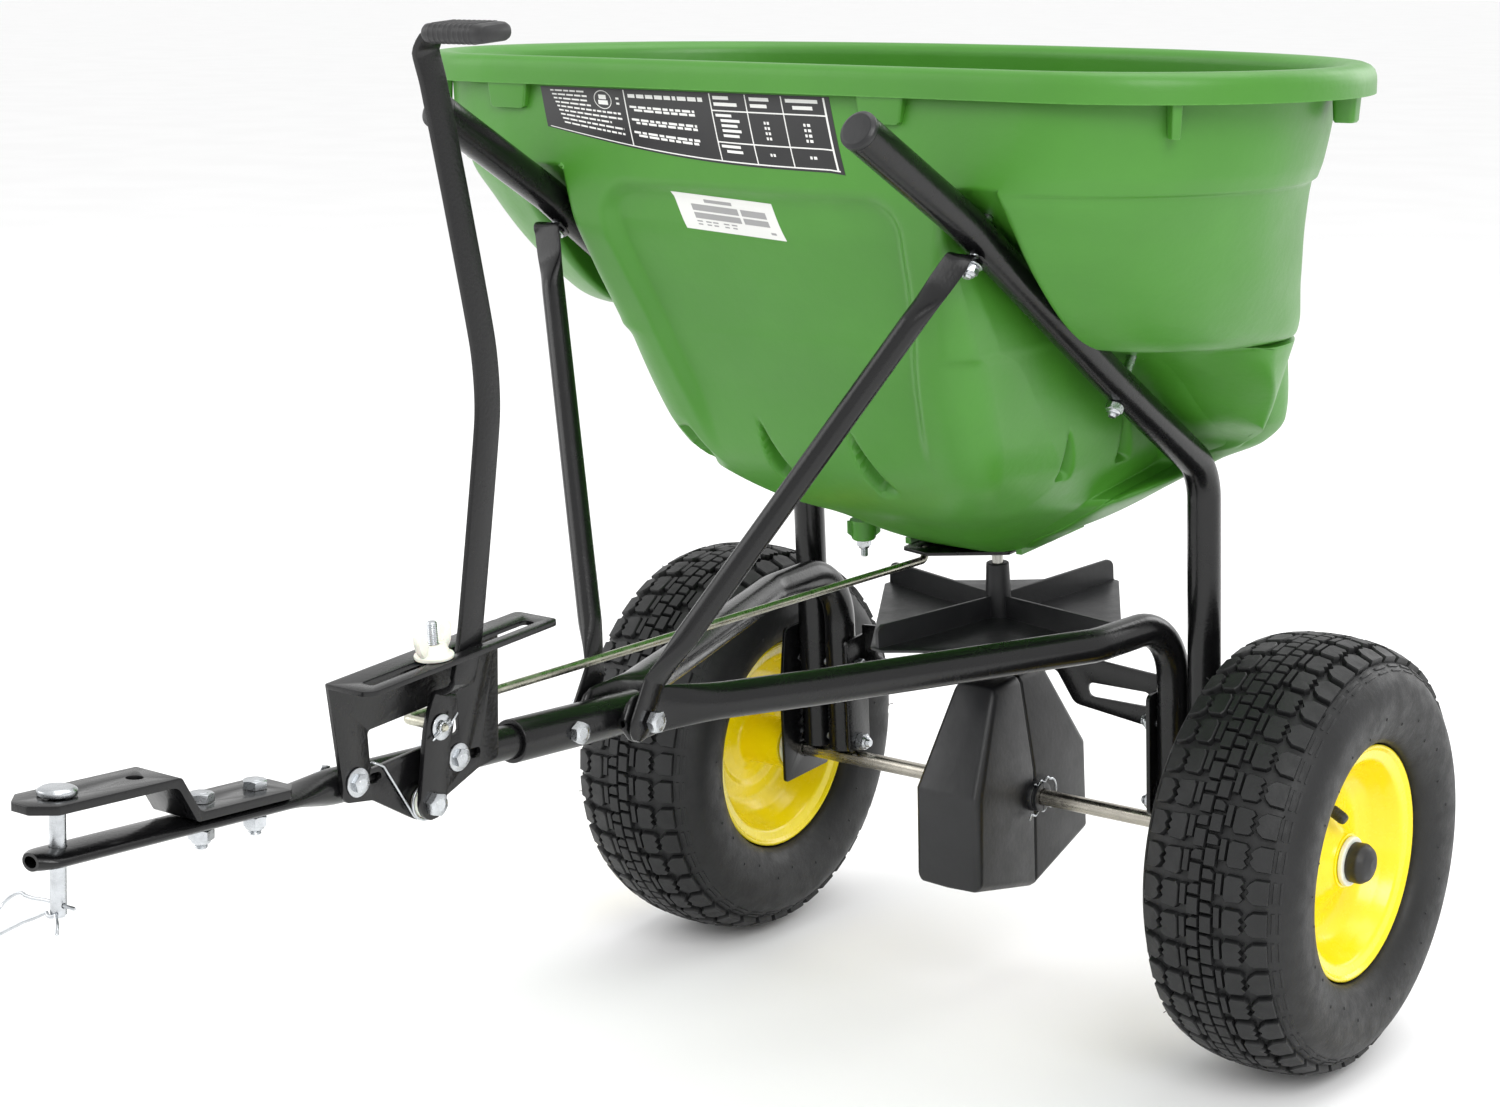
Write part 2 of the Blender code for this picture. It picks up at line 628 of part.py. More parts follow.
def axle_plate(side, name, chassis):
    outline = [(-0.030, -0.022), (0.030, -0.022), (0.030, 0.110), (-0.022, 0.110), (-0.030, 0.060)]
    x0, x1 = side * PLATE_X, side * (PLATE_X + PLATE_THICK)
    plate = part(f"axle_plate_{name}", prism_x(outline, x0, x1), BLACK_PAINT, chassis)
    cut(plate, rod((side * 0.19, 0, 0), (side * 0.21, 0, 0), AXLE_RADIUS + GAP, 14))
    cut(plate, *frame_bolt_holes(side))


def frame_bolts(side, name, chassis):
    seat = PLATE_X + PLATE_THICK + GAP
    tab_face = FRAME_X - TUBE_RADIUS - GAP - TAB_THICK
    for level, z in zip(("upper", "lower"), FRAME_BOLT_Z):
        head = (side * seat, 0, z)
        bolt = hex_bolt(head, (-side, 0, 0), seat - tab_face + GAP, FRAME_BOLT_RADIUS)
        part(f"frame_bolt_{name}_{level}", bolt, ZINC, chassis, head)


def strut(side, name, chassis):
    """Brace from the drawbar up to the leg tube, both ends flattened."""
    seat = STRUT_BOLT + LEG_NORMAL * (TUBE_RADIUS + 0.0026 + GAP)
    ahead, behind = seat + LEG_SLOPE * 0.012, seat - LEG_SLOPE * 0.011
    corners = [(0.0252, -0.474, 0.190), (0.0252, -0.452, 0.224), ahead, behind]
    path = rounded_path([(side * p[0], p[1], p[2]) for p in corners], 0.006, math.radians(40))

    def section(distance, total):
        low = min(max((0.070 - distance) / 0.025, 0.0), 1.0)
        high = min(max((distance - total + 0.066) / 0.020, 0.0), 1.0)
        wide = STRUT_RADIUS - 0.0056 * low + 0.0020 * high
        tall = STRUT_RADIUS + 0.0030 * low - 0.0056 * high
        return wide, tall

    knee = len(path) - 4
    run = path[knee] - path[knee - 1]
    flattening = [path[knee - 1] + run * t for t in (0.06, 0.13, 0.82, 0.90)]
    path = path[:knee] + flattening + path[knee:]
    brace = part(f"strut_{name}", sweep(path, section, 8, level=True), BLACK_PAINT, chassis)
    cut(brace, rod((side * 0.01, TONGUE_Y, TONGUE_Z), (side * 0.04, TONGUE_Y, TONGUE_Z),
                   FRAME_BOLT_RADIUS + GAP))
    hole = Vector((side * seat.x, seat.y, seat.z))
    cut(brace, rod(hole - LEG_NORMAL * 0.015, hole + LEG_NORMAL * 0.015, LEG_BOLT_RADIUS + GAP))


def crossbar(chassis):
    """Bent channel between the frame tubes that carries the gearbox under its raised middle."""
    reach = FRAME_X - TUBE_RADIUS - GAP
    web = [(-reach, 0.112), (-0.055, 0.118), (-0.045, 0.130), (0.045, 0.130), (0.055, 0.118),
           (reach, 0.112), (reach, 0.068), (0.060, 0.078), (0.044, 0.103), (-0.044, 0.103),
           (-0.060, 0.078), (-reach, 0.068)]
    y0, y1 = 0.0130, 0.0160
    shape = loft([[(x, y, z) for x, z in web] for y in (y0, y1)])
    bar = part("gearbox_crossbar", shape, BLACK_PAINT, chassis)
    join(bar, box((-0.048, -0.030, 0.1270), (0.048, 0.0145, 0.1300)))
    tab = [(-0.014, 0.0085), (0.0145, 0.0085), (0.0145, 0.105), (-0.014, 0.105)]
    slot = box((0.075, y0 - 0.01, 0.086), (0.125, y1 + 0.01, 0.098))
    for side in (1, -1):
        join(bar, prism_x(tab, side * (reach - TAB_THICK), side * reach))
        cut(bar, slot if side > 0 else mirrored(slot))
        cut(bar, *frame_bolt_holes(side))
    cut(bar, rod((0, 0, 0.11), (0, 0, 0.15), 0.0075 + GAP))
    collar = [(0.1245, 0.0046), (0.1245, 0.0074), (0.1300 + GAP, 0.0074), (0.1300 + GAP, 0.0100),
              (0.1325, 0.0100), (0.1325, 0.0046)]
    part("shaft_bushing", lathe(collar, (0, 0, 0), (0, 0, 1), 12), BLACK_PLASTIC, chassis)


# ---- drawbar -------------------------------------------------------------------------------------
def drawbar(tongue, chassis):
    """Hitch tube and sleeve, measured along the tongue from the frame's front bolt."""
    def section(distance, total):
        flat = min(max((0.217 - distance) / 0.040, 0.0), 1.0)
        return TONGUE_RADIUS + 0.0040 * flat, TONGUE_RADIUS - 0.0058 * flat

    stops = (TONGUE_END, -0.40, -0.300, -0.280, -0.260, -0.02)
    tube = part("hitch_tube", sweep([(0, y, 0) for y in stops], section, 10, 0.0018),
                BLACK_PAINT, tongue)
    ring = [(SLEEVE_FRONT, TONGUE_RADIUS + GAP), (SLEEVE_FRONT, SLEEVE_RADIUS),
            (0.016, SLEEVE_RADIUS), (0.016, TONGUE_RADIUS + GAP)]
    sleeve = part("tongue_sleeve", lathe(ring, (0, 0, 0), (0, 1, 0), 10), BLACK_PAINT, tongue)
    frame_hole, sleeve_hole = [rod((-0.03, y, 0), (0.03, y, 0), FRAME_BOLT_RADIUS + GAP)
                               for y in (0.0, SLEEVE_BOLT_Y)]
    cut(sleeve, frame_hole, sleeve_hole)
    cut(tube, sleeve_hole)
    cut(tube, *[rod((0, y, -0.02), (0, y, 0.02), HITCH_HOLE_RADIUS)
                for y in (HITCH_PIN_Y, *HITCH_BOLT_Y)])
    cut(tube, *[rod((-0.02, y, BRACKET_BOLT_Z), (0.02, y, BRACKET_BOLT_Z),
                    BRACKET_BOLT_RADIUS + GAP) for y in BRACKET_BOLT_Y])
    sleeve_head = (SLEEVE_RADIUS + GAP, SLEEVE_BOLT_Y, 0)
    part("sleeve_bolt", hex_bolt(sleeve_head, (-1, 0, 0), 2 * (SLEEVE_RADIUS + GAP), stud=0.004),
         ZINC, tongue, sleeve_head)
    head = (0.0296, TONGUE_Y, TONGUE_Z)
    part("tongue_bolt", hex_bolt(head, (-1, 0, 0), 0.0592, stud=0.005), ZINC, chassis, head)
    for place, y in zip(("front", "rear"), BRACKET_BOLT_Y):
        head = (BRACKET_X + BRACKET_THICK + GAP, y, BRACKET_BOLT_Z)
        grip = head[0] + TONGUE_RADIUS + GAP
        bolt = hex_bolt(head, (-1, 0, 0), grip, BRACKET_BOLT_RADIUS, 0.001, 0.003)
        part(f"bracket_bolt_{place}", bolt, ZINC, tongue, head)


def hitch(tongue):
    """Z-shaped clevis plate on the hitch tube, its two bolts, and the drawbar pin."""
    low, high, gauge = PLATE_LOW, PLATE_HIGH, PLATE_GAUGE
    side = [(-0.484, high), (-0.392, high), (-0.378, low), (-0.300, low),
            (-0.300, low + gauge), (-0.3755, low + gauge), (-0.3895, high + gauge),
            (-0.484, high + gauge)]
    plate = part("hitch_plate", prism_x(side, -0.018, 0.018), BLACK_PAINT, tongue)
    for y in (*HITCH_BOLT_Y, HITCH_PIN_Y, -0.407):
        cut(plate, rod((0, y, -0.01), (0, y, 0.05), HITCH_HOLE_RADIUS))
    for corner in (1, -1):
        nose = [(corner * 0.019, -0.470), (corner * 0.019, -0.490), (corner * 0.006, -0.490)]
        cut(plate, prism_z(nose, high - 0.01, high + 0.02))
        tail = [(corner * 0.019, -0.312), (corner * 0.019, -0.295), (corner * 0.006, -0.295)]
        cut(plate, prism_z(tail, low - 0.001, low + 0.02))
    for place, y in zip(("front", "rear"), HITCH_BOLT_Y):
        head = (0, y, low + gauge + GAP)
        grip = head[2] + 0.0050 + 2 * GAP
        part(f"hitch_bolt_{place}", hex_bolt(head, (0, 0, -1), grip, 0.004, stud=0.007),
             ZINC, tongue, head)
    top = high + gauge + GAP
    stations = [(0, 0.0060), (0.0008, 0.0100), (0.0030, 0.0108), (0.0045, 0.0108),
                (0.0046, 0.0045), (0.0690, 0.0045), (0.0710, 0.0034)]
    start = (0, HITCH_PIN_Y, top + 0.0045)
    pin = part("hitch_pin", turned(stations, start, (0, 0, -1)), ZINC, tongue, start)
    hole_z = top + 0.0045 - 0.0640
    cut(pin, rod((-0.01, HITCH_PIN_Y, hole_z), (0.01, HITCH_PIN_Y, hole_z), 0.0013 + GAP, 8))
    part("hitch_pin_clip", clip_shape(hole_z), ZINC, tongue, (0, HITCH_PIN_Y, hole_z))


def clip_shape(z):
    """Hairpin clip: one straight leg through the pin, the other hugging its side."""
    y = HITCH_PIN_Y
    back = [(0.012, y, z), (-0.010, y, z), (-0.022, y - 0.002, z)]
    loop = []
    for k in range(9):
        angle = math.radians(80 + 200 * k / 8)
        loop.append((-0.030 + 0.008 * math.cos(angle), y - 0.010 + 0.009 * math.sin(angle), z))
    hug = [(-0.014, y - 0.0100, z), (-0.006, y - 0.0064, z), (0.0, y - 0.0058, z + 0.0005),
           (0.006, y - 0.0064, z), (0.012, y - 0.011, z)]
    return sweep(back + loop + hug, plain(0.0011), 6)


# ---- flow control ---------------------------------------------------------------------------------
def bracket(chassis):
    """Bent plate beside the hitch tube with a slotted flange for the lever and its stop."""
    outline = [(-0.727, FLANGE_Z), (-0.722, 0.226), (-0.700, 0.221), (-0.672, 0.2015),
               (-0.6660, 0.1975), (-0.6550, 0.1975), (-0.6490, 0.2015), (-0.610, 0.2130),
               (-0.592, 0.2140), (-0.584, FLANGE_Z)]
    x0, x1 = BRACKET_X, BRACKET_X + BRACKET_THICK
    plate = part("flow_bracket", prism_x(outline, x0, x1), BLACK_PAINT, chassis)
    join(plate, box((x0, -0.727, FLANGE_Z - 0.003), (x0 + 0.036, -0.564, FLANGE_Z)))
    cut(plate, box((0.0290, -0.716, FLANGE_Z - 0.02), (0.0390, -0.576, FLANGE_Z + 0.02)))
    cut(plate, box((0.0, -0.700, 0.2400), (0.03, -0.624, 0.2640)))
    cut(plate, rod((0.0, LEVER_PIVOT[1], LEVER_PIVOT[2]), (0.03, LEVER_PIVOT[1], LEVER_PIVOT[2]),
                   0.004 + GAP))
    tilt = Matrix.Rotation(-TONGUE_PITCH, 3, "X")
    for y in BRACKET_BOLT_Y:
        spot = Vector((0, TONGUE_Y, TONGUE_Z)) + tilt @ Vector((0, y, BRACKET_BOLT_Z))
        cut(plate, rod((0, spot.y, spot.z), (0.03, spot.y, spot.z), BRACKET_BOLT_RADIUS + GAP))
    pivot_head = (LEVER_LOW_X + LEVER_THICK + GAP, LEVER_PIVOT[1], LEVER_PIVOT[2])
    grip = pivot_head[0] - BRACKET_X + GAP
    part("lever_pivot_bolt", hex_bolt(pivot_head, (-1, 0, 0), grip, 0.004, stud=0.002), ZINC,
         chassis, pivot_head)
    ring = [(x1 + GAP, 0.0046), (x1 + GAP, 0.0090), (LEVER_LOW_X - GAP, 0.0090),
            (LEVER_LOW_X - GAP, 0.0046)]
    part("pivot_washer", lathe(ring, (0, LEVER_PIVOT[1], LEVER_PIVOT[2]), (1, 0, 0), 14),
         WHITE_NYLON, chassis, (x1, LEVER_PIVOT[1], LEVER_PIVOT[2]))


def spring(chassis):
    """Return spring: two turns round the pivot washer and two straight legs."""
    y0, z0 = LEVER_PIVOT[1], LEVER_PIVOT[2]
    coil, wire, steps, pitch = 0.0107, 0.0008, 12, 0.0024
    first = BRACKET_X + BRACKET_THICK + GAP + wire
    start, sweep_angle = math.radians(215), math.radians(505)
    path = [(first, y0 - 0.0365, z0 + 0.0340)]
    count = math.ceil(steps * sweep_angle / math.tau)
    for k in range(count + 1):
        angle = start + sweep_angle * k / count
        path.append((first + pitch * sweep_angle / math.tau * k / count,
                     y0 + coil * math.cos(angle), z0 + coil * math.sin(angle)))
    path.append((path[-1][0], y0 + coil + 0.001, z0 + 0.026))
    part("lever_spring", sweep(path, plain(wire), 6), ZINC, chassis,
         (first, y0, z0))


def lever(chassis):
    """Flat bar: pivot strip, outward joggle, long upright and level grip end."""
    low, high = LEVER_LOW_X + LEVER_THICK / 2, LEVER_HIGH_X + LEVER_THICK / 2
    spine = [(low, -0.6610, 0.1985), (low, -0.6605, 0.2080), (low, -0.6510, 0.2500),
             (low, -0.6420, 0.2720), (high, -0.6390, 0.2790), (high, -0.6280, 0.3100),
             (high, -0.6010, 0.4300), (high, -0.6000, 0.4750), (high, -0.6130, 0.5600),
             (high, -0.6250, 0.6300), (high, -0.6290, 0.6500)]
    half = [0.0090, 0.0110, 0.0115, 0.0100] + [LEVER_HALF_WIDTH] * 7
    rings = []
    for i, ((x, y, z), wide) in enumerate(zip(spine, half)):
        a, b = Vector(spine[max(i - 1, 0)]), Vector(spine[min(i + 1, len(spine) - 1)])
        along = Vector((0, b.y - a.y, b.z - a.z)).normalized()
        across = Vector((0, along.z, -along.y))
        thick = LEVER_THICK / 2
        rings.append([Vector((x - thick, y, z)) - across * wide,
                      Vector((x + thick, y, z)) - across * wide,
                      Vector((x + thick, y, z)) + across * wide,
                      Vector((x - thick, y, z)) + across * wide])
    top = Vector(spine[-1])
    across = Vector((0, LEVER_HALF_WIDTH, 0))
    for x, z in ((top.x + 0.0015, top.z + 0.0055), (top.x + 0.008, top.z + 0.0080),
                 (top.x + 0.040, top.z + 0.0090)):
        lift = Vector((0, 0, 0.002)) if x > top.x + 0.005 else Vector((-0.0014, 0, 0.0014))
        centre = Vector((x, top.y - 0.001, z))
        rings.append([centre + lift - across, centre - lift - across,
                      centre - lift + across, centre + lift + across])
    bar = part("flow_lever", loft(rings), BLACK_PAINT, chassis, LEVER_PIVOT)
    cut(bar, rod((0.01, *LEVER_PIVOT[1:]), (0.03, *LEVER_PIVOT[1:]), 0.004 + GAP),
        rod((0.01, *ROD_JOINT[1:]), (0.03, *ROD_JOINT[1:]), ROD_HOLE_RADIUS))
    x0, z0, y0 = top.x + 0.0095, top.z + 0.0088, top.y - 0.001
    grip = loft([[(x, y0 + y * s, z0 + z * s) for y, z in
                  rounded_box_outline(-0.0135, 0.0135, -0.0055, 0.0055, 0.0050)]
                 for x, s in ((x0, 0.9), (x0 + 0.002, 1.0), (x0 + 0.042, 1.0), (x0 + 0.046, 0.75))])
    sleeve = part("lever_grip", grip, RUBBER, chassis, (x0, y0, z0))
    reach = LEVER_HALF_WIDTH + GAP
    cut(sleeve, box((x0 - 0.01, y0 - reach, z0 - 0.0028), (x0 + 0.0320, y0 + reach, z0 + 0.0030)))


def rate_stop(chassis):
    """Screw and wing nut that set how far the lever may open."""
    x, y, z = 0.0340, -0.6600, FLANGE_Z
    stations = [(-0.0065, 0.0060), (-0.0035, 0.0068), (-0.0034, 0.0034), (0.0215, 0.0034),
                (0.0225, 0.0028)]
    part("stop_screw", turned(stations, (x, y, z), (0, 0, 1)), ZINC, chassis, (x, y, z))
    body = [(GAP, 0.0042), (GAP, 0.0115), (0.0030, 0.0115), (0.0040, 0.0095), (0.0085, 0.0070),
            (0.0085, 0.0042)]
    nut = part("wing_nut", lathe(body, (x, y, z), (0, 0, 1), 14), WHITE_NYLON, chassis, (x, y, z))
    for way in (1, -1):
        wing = [(0.0052, 0.0035), (0.0120, 0.0060), (0.0155, 0.0150), (0.0140, 0.0185),
                (0.0095, 0.0185), (0.0075, 0.0120), (0.0052, 0.0080)]
        join(nut, loft([[(x + t * 0.6, y + way * (w * 0.9), z + h) for w, h in wing]
                        for t in (-0.0025, 0.0025)]))


def control_rod(chassis):
    """Bent wire from the lever to the gate slide under the hopper."""
    jx, jy, jz = ROD_JOINT
    corners = [(jx + 0.0065, jy, jz), (-0.004, jy, jz), (-0.0120, -0.560, 0.2440),
               (-0.030, -0.0560, 0.2000), (-0.030, -0.0560, 0.2105)]
    path = rounded_path(corners, 0.005, math.radians(45))
    part("control_rod", sweep(path, plain(ROD_RADIUS), 8), STEEL, chassis, GATE_HOOK)


def gate(chassis):
    """Steel shutter that slides under the hopper floor."""
    outline = [(-0.044, -0.066), (-0.018, -0.072), (0.036, -0.040), (0.036, 0.060), (-0.040, 0.060),
               (-0.044, 0.0)]
    slide = part("gate_slide", prism_z(outline, GATE_LOW, GATE_HIGH), BLACK_PAINT, chassis,
                 (0, 0, GATE_LOW))
    join(slide, box((-0.020, 0.0570, GATE_LOW + 0.001), (0.034, 0.0600, GATE_HIGH + 0.0070)))
    cut(slide, prism_z(rounded_box_outline(-0.0065, 0.0065, -0.032, 0.012, 0.006), 0.19, 0.22))
    cut(slide, rod((GATE_HOOK[0], GATE_HOOK[1], 0.19), (GATE_HOOK[0], GATE_HOOK[1], 0.22),
                   ROD_RADIUS + 0.0006))
    cut(slide, prism_z(rounded_box_outline(0.012, 0.030, -0.036, -0.010, 0.005), 0.19, 0.22))


# ---- hopper -------------------------------------------------------------------------------------
def roof_y(height):
    """Where the groove over the leg tube meets a given height."""
    return ROOF_Y - (height - ROOF_Z) / ROOF_SLOPE


def hopper_outline(height, front, ridge, groove, lobe, lobe_y, side, side_y, back):
    """Left half of the plan outline, from the middle of the front to the middle of the back."""
    points = [(0.0, front), (ridge * 0.55, front), (ridge, front + 0.003)]
    if height > LOBE_FLOOR:
        deep = max(roof_y(height), front)
        points.append(((ridge + groove) / 2 + 0.003, front + 0.30 * (deep - front)))
        points += [(groove, deep), (lobe, deep), (lobe, lobe_y)]
    else:
        deep = lobe_y - 0.012
        points.append(((ridge + groove) / 2 + 0.003, front + 0.40 * (deep - front)))
        points += [(groove, deep), (lobe - 0.001, lobe_y), (lobe, lobe_y)]
    for k in range(1, 5):
        angle = k / 5 * math.pi / 2
        points.append((lobe + (side - lobe) * math.sin(angle),
                       lobe_y + (side_y - lobe_y) * (1 - math.cos(angle))))
    for k in range(7):
        angle = k / 7 * math.pi / 2
        points.append((side * math.cos(angle), side_y + (back - side_y) * math.sin(angle)))
    points.append((0.0, back))
    return points


def hopper_ring(height, values, drop=0.0):
    half = hopper_outline(height, *values)
    plan = half + [(-x, y) for x, y in half[-2:0:-1]]
    tilt = math.tan(CHASSIS_PITCH) * drop
    return [(x, y, height + tilt * (y - OUTLET_Y)) for x, y in plan]


def hopper_rings():
    drops = (1.0, 1.0, 0.6)
    rings = [hopper_ring(level[0], level[1:], drops[i] if i < len(drops) else 0.0)
             for i, level in enumerate(HOPPER_LEVELS)]
    return rings + [hopper_ring(height, FLANGE_LEVEL)
                    for height in (RIM_Z - HOPPER_WALL, RIM_Z - RIM_BAND)]


def hopper(machine):
    """Moulded bin: an outer skin given its wall thickness inwards, then the openings."""
    points, faces = loft(hopper_rings())
    mesh = bpy.data.meshes.new("hopper")
    mesh.from_pydata(points, [], faces[:-1])
    bm = bmesh.new()
    bm.from_mesh(mesh)
    bmesh.ops.recalc_face_normals(bm, faces=bm.faces)
    floor = min(bm.faces, key=lambda f: f.calc_center_median().z)
    if floor.normal.z > 0:
        bmesh.ops.reverse_faces(bm, faces=bm.faces)
    bm.to_mesh(mesh)
    bm.free()
    obj = bpy.data.objects.new("hopper", mesh)
    bpy.context.collection.objects.link(obj)
    obj.parent = machine
    mesh.materials.append(principled("hopper", GREEN_PLASTIC))
    mesh.shade_smooth()
    mesh.set_sharp_from_angle(angle=math.radians(32))
    wall = obj.modifiers.new("wall", "SOLIDIFY")
    wall.thickness = HOPPER_WALL
    wall.offset = -1.0
    return obj


def hopper_openings(bin_object, chassis):
    """Shaft hole, outlet and bolts through the bin, placed in the chassis frame."""
    to_machine = Matrix.Translation((0, 0, WHEEL_RADIUS)) @ Matrix.Rotation(CHASSIS_PITCH, 4, "X")

    def level(shape):
        points, faces = shape
        return [to_machine @ Vector(p) for p in points], faces

    cut(bin_object, level(rod((0, 0, 0.18), (0, 0, 0.24), SHAFT_RADIUS + 0.0008)))
    cut(bin_object, level(prism_z(rounded_box_outline(0.012, 0.030, -0.036, -0.010, 0.005),
                                  0.18, 0.24)))
    bolts = (("strut_bolt", STRUT_BOLT, 0.0095, 0.0060), ("hopper_bolt", HOPPER_BOLT, 0.0135, 0.0))
    for side, name in ((1, "left"), (-1, "right")):
        for kind, spot, roof, brace in bolts:
            centre = Vector((side * spot.x, spot.y, spot.z))
            cut(bin_object, level(rod(centre - LEG_NORMAL * 0.034, centre - LEG_NORMAL * 0.008,
                                      LEG_BOLT_RADIUS + GAP)))
            seat = TUBE_RADIUS + roof
            head = centre - LEG_NORMAL * seat
            bolt = hex_bolt(head, LEG_NORMAL, seat + TUBE_RADIUS + GAP + brace, LEG_BOLT_RADIUS,
                            stud=0.007)
            part(f"{kind}_{name}", bolt, ZINC, chassis, head)


# ---- assembly -----------------------------------------------------------------------------------
def build():
    clear_scene()
    machine = empty("machine", None, (0, AXLE_Y, 0))
    axle_line = empty("axle_line", machine)
    chassis = empty("chassis", machine, (0, 0, WHEEL_RADIUS), CHASSIS_PITCH)
    tongue = empty("tongue", chassis, (0, TONGUE_Y, TONGUE_Z), -TONGUE_PITCH)
    for side, name in ((1, "left"), (-1, "right")):
        wheel(side, name, axle_line)
        leg(side, name, chassis)
        frame_tube(side, name, chassis)
        axle_plate(side, name, chassis)
        frame_bolts(side, name, chassis)
        strut(side, name, chassis)
    crossbar(chassis)
    drive(chassis, axle_line)
    drawbar(tongue, chassis)
    hitch(tongue)
    bracket(chassis)
    spring(chassis)
    lever(chassis)
    rate_stop(chassis)
    control_rod(chassis)
    gate(chassis)
    hopper_openings(hopper(machine), chassis)


build()
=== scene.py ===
"""Looks for the tow-behind spreader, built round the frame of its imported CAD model."""

import math
import random

import bmesh
import bpy
from mathutils import Matrix, Quaternion, Vector
from mathutils.bvhtree import BVHTree


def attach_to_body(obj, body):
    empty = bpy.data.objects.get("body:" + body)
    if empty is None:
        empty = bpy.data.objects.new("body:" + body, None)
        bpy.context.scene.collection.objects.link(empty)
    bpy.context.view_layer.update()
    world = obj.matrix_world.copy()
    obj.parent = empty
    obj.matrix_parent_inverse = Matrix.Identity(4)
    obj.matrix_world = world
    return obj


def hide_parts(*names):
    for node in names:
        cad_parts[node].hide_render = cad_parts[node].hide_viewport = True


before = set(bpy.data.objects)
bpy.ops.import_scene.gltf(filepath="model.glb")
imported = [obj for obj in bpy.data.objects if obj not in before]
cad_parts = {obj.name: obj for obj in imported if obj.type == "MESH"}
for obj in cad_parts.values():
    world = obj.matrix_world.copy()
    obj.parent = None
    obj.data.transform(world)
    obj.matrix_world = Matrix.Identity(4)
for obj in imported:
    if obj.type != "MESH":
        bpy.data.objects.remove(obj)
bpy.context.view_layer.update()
rng = random.Random(7)

# ---- dimensions shared with the CAD model, in metres ----------------------------------
WHEEL_R, WHEEL_X = 0.165, 0.264
AXLE_R = 0.00635
TUBE_R, TUBE_WALL = 0.0125, 0.0016
LEG_X, LEG_TOP_X, FRAME_X, FOOT = 0.181, 0.175, 0.1547, 0.0080
PLATE_X, PLATE_T = 0.1939, 0.003
TONGUE_R, SLEEVE_R = 0.0108, 0.0140
PIN_Y = -0.459
HITCH_LOW, HITCH_HIGH = 0.0054, 0.0275
LEVER_LOW_X, LEVER_HIGH_X = 0.0210, 0.0320
LEVER_PIVOT = Vector((0.023, -0.6605, 0.208))
ROD_JOINT = Vector((0.023, -0.650, 0.253))
BRACKET_X, BRACKET_T, FLANGE_Z = 0.0118, 0.003, 0.300
LEG_SLOPE = Vector((0, -0.788, 0.615)).normalized()
LEG_NORMAL = Vector((0, -0.615, -0.788)).normalized()
STRUT_BOLT = Vector((LEG_TOP_X + 0.0008, -0.2850, 0.4973))
HOPPER_BOLT = Vector((LEG_X - 0.001, -0.1170, 0.3671))
BLADES = [76 + 90 * k for k in range(4)]
AXLE_Y = 0.396  # the shapes below are drawn about the axle; attach() sets them this far back

WORLD = Matrix.Identity(4)
CHASSIS = Matrix.Translation((0, 0, WHEEL_R)) @ Matrix.Rotation(math.radians(4.2), 4, "X")
TONGUE = (CHASSIS @ Matrix.Translation((0, -0.46, 0.200))
          @ Matrix.Rotation(math.radians(-7.2), 4, "X"))


# ---- materials --------------------------------------------------------------------------
class Graph:
    """Small helper for wiring a Principled material."""

    def __init__(self, name):
        self.material = bpy.data.materials.new(name)
        self.material.use_nodes = True
        self.tree = self.material.node_tree
        self.shader = self.tree.nodes["Principled BSDF"]
        self.place = self.add("ShaderNodeTexCoord").outputs["Object"]

    def add(self, kind, **values):
        node = self.tree.nodes.new(kind)
        for key, value in values.items():
            setattr(node, key, value)
        return node

    def link(self, source, target):
        self.tree.links.new(source, target)

    def stretched(self, scale):
        node = self.add("ShaderNodeMapping")
        self.link(self.place, node.inputs["Vector"])
        node.inputs["Scale"].default_value = scale
        return node.outputs["Vector"]

    def noise(self, scale, detail=4.0, rough=0.55, vector=None):
        node = self.add("ShaderNodeTexNoise")
        self.link(vector or self.place, node.inputs["Vector"])
        node.inputs["Scale"].default_value = scale
        node.inputs["Detail"].default_value = detail
        node.inputs["Roughness"].default_value = rough
        return node.outputs["Fac"]

    def voronoi(self, scale):
        node = self.add("ShaderNodeTexVoronoi")
        self.link(self.place, node.inputs["Vector"])
        node.inputs["Scale"].default_value = scale
        return node.outputs["Distance"]

    def remap(self, source, low, high, to_low, to_high):
        node = self.add("ShaderNodeMapRange", interpolation_type="SMOOTHSTEP")
        self.link(source, node.inputs["Value"])
        for key, value in zip(("From Min", "From Max", "To Min", "To Max"),
                              (low, high, to_low, to_high)):
            node.inputs[key].default_value = value
        return node.outputs["Result"]

    def sum(self, a, b, operation="ADD"):
        node = self.add("ShaderNodeMath", operation=operation)
        for socket, value in zip(node.inputs, (a, b)):
            if isinstance(value, (int, float)):
                socket.default_value = value
            else:
                self.link(value, socket)
        return node.outputs["Value"]

    def mix(self, factor, a, b):
        node = self.add("ShaderNodeMix", data_type="RGBA")
        self.link(factor, node.inputs[0])
        for socket, value in zip((node.inputs[6], node.inputs[7]), (a, b)):
            if isinstance(value, tuple):
                socket.default_value = (*value, 1.0)
            else:
                self.link(value, socket)
        return node.outputs[2]

    def bump(self, height, depth, before=None):
        node = self.add("ShaderNodeBump")
        self.link(height, node.inputs["Height"])
        node.inputs["Strength"].default_value = 1.0
        node.inputs["Distance"].default_value = depth
        if before is not None:
            self.link(before, node.inputs["Normal"])
        return node.outputs["Normal"]

    def edges(self, width):
        """About 1 on sharp edges and 0 on flat ground."""
        soft = self.add("ShaderNodeBevel", samples=4)
        soft.inputs["Radius"].default_value = width
        flat = self.add("ShaderNodeNewGeometry").outputs["Normal"]
        dot = self.add("ShaderNodeVectorMath", operation="DOT_PRODUCT")
        self.link(soft.outputs["Normal"], dot.inputs[0])
        self.link(flat, dot.inputs[1])
        return self.remap(dot.outputs["Value"], 0.80, 0.995, 1.0, 0.0)


def shade(colour, factor):
    return tuple(min(1.0, c * factor) for c in colour)


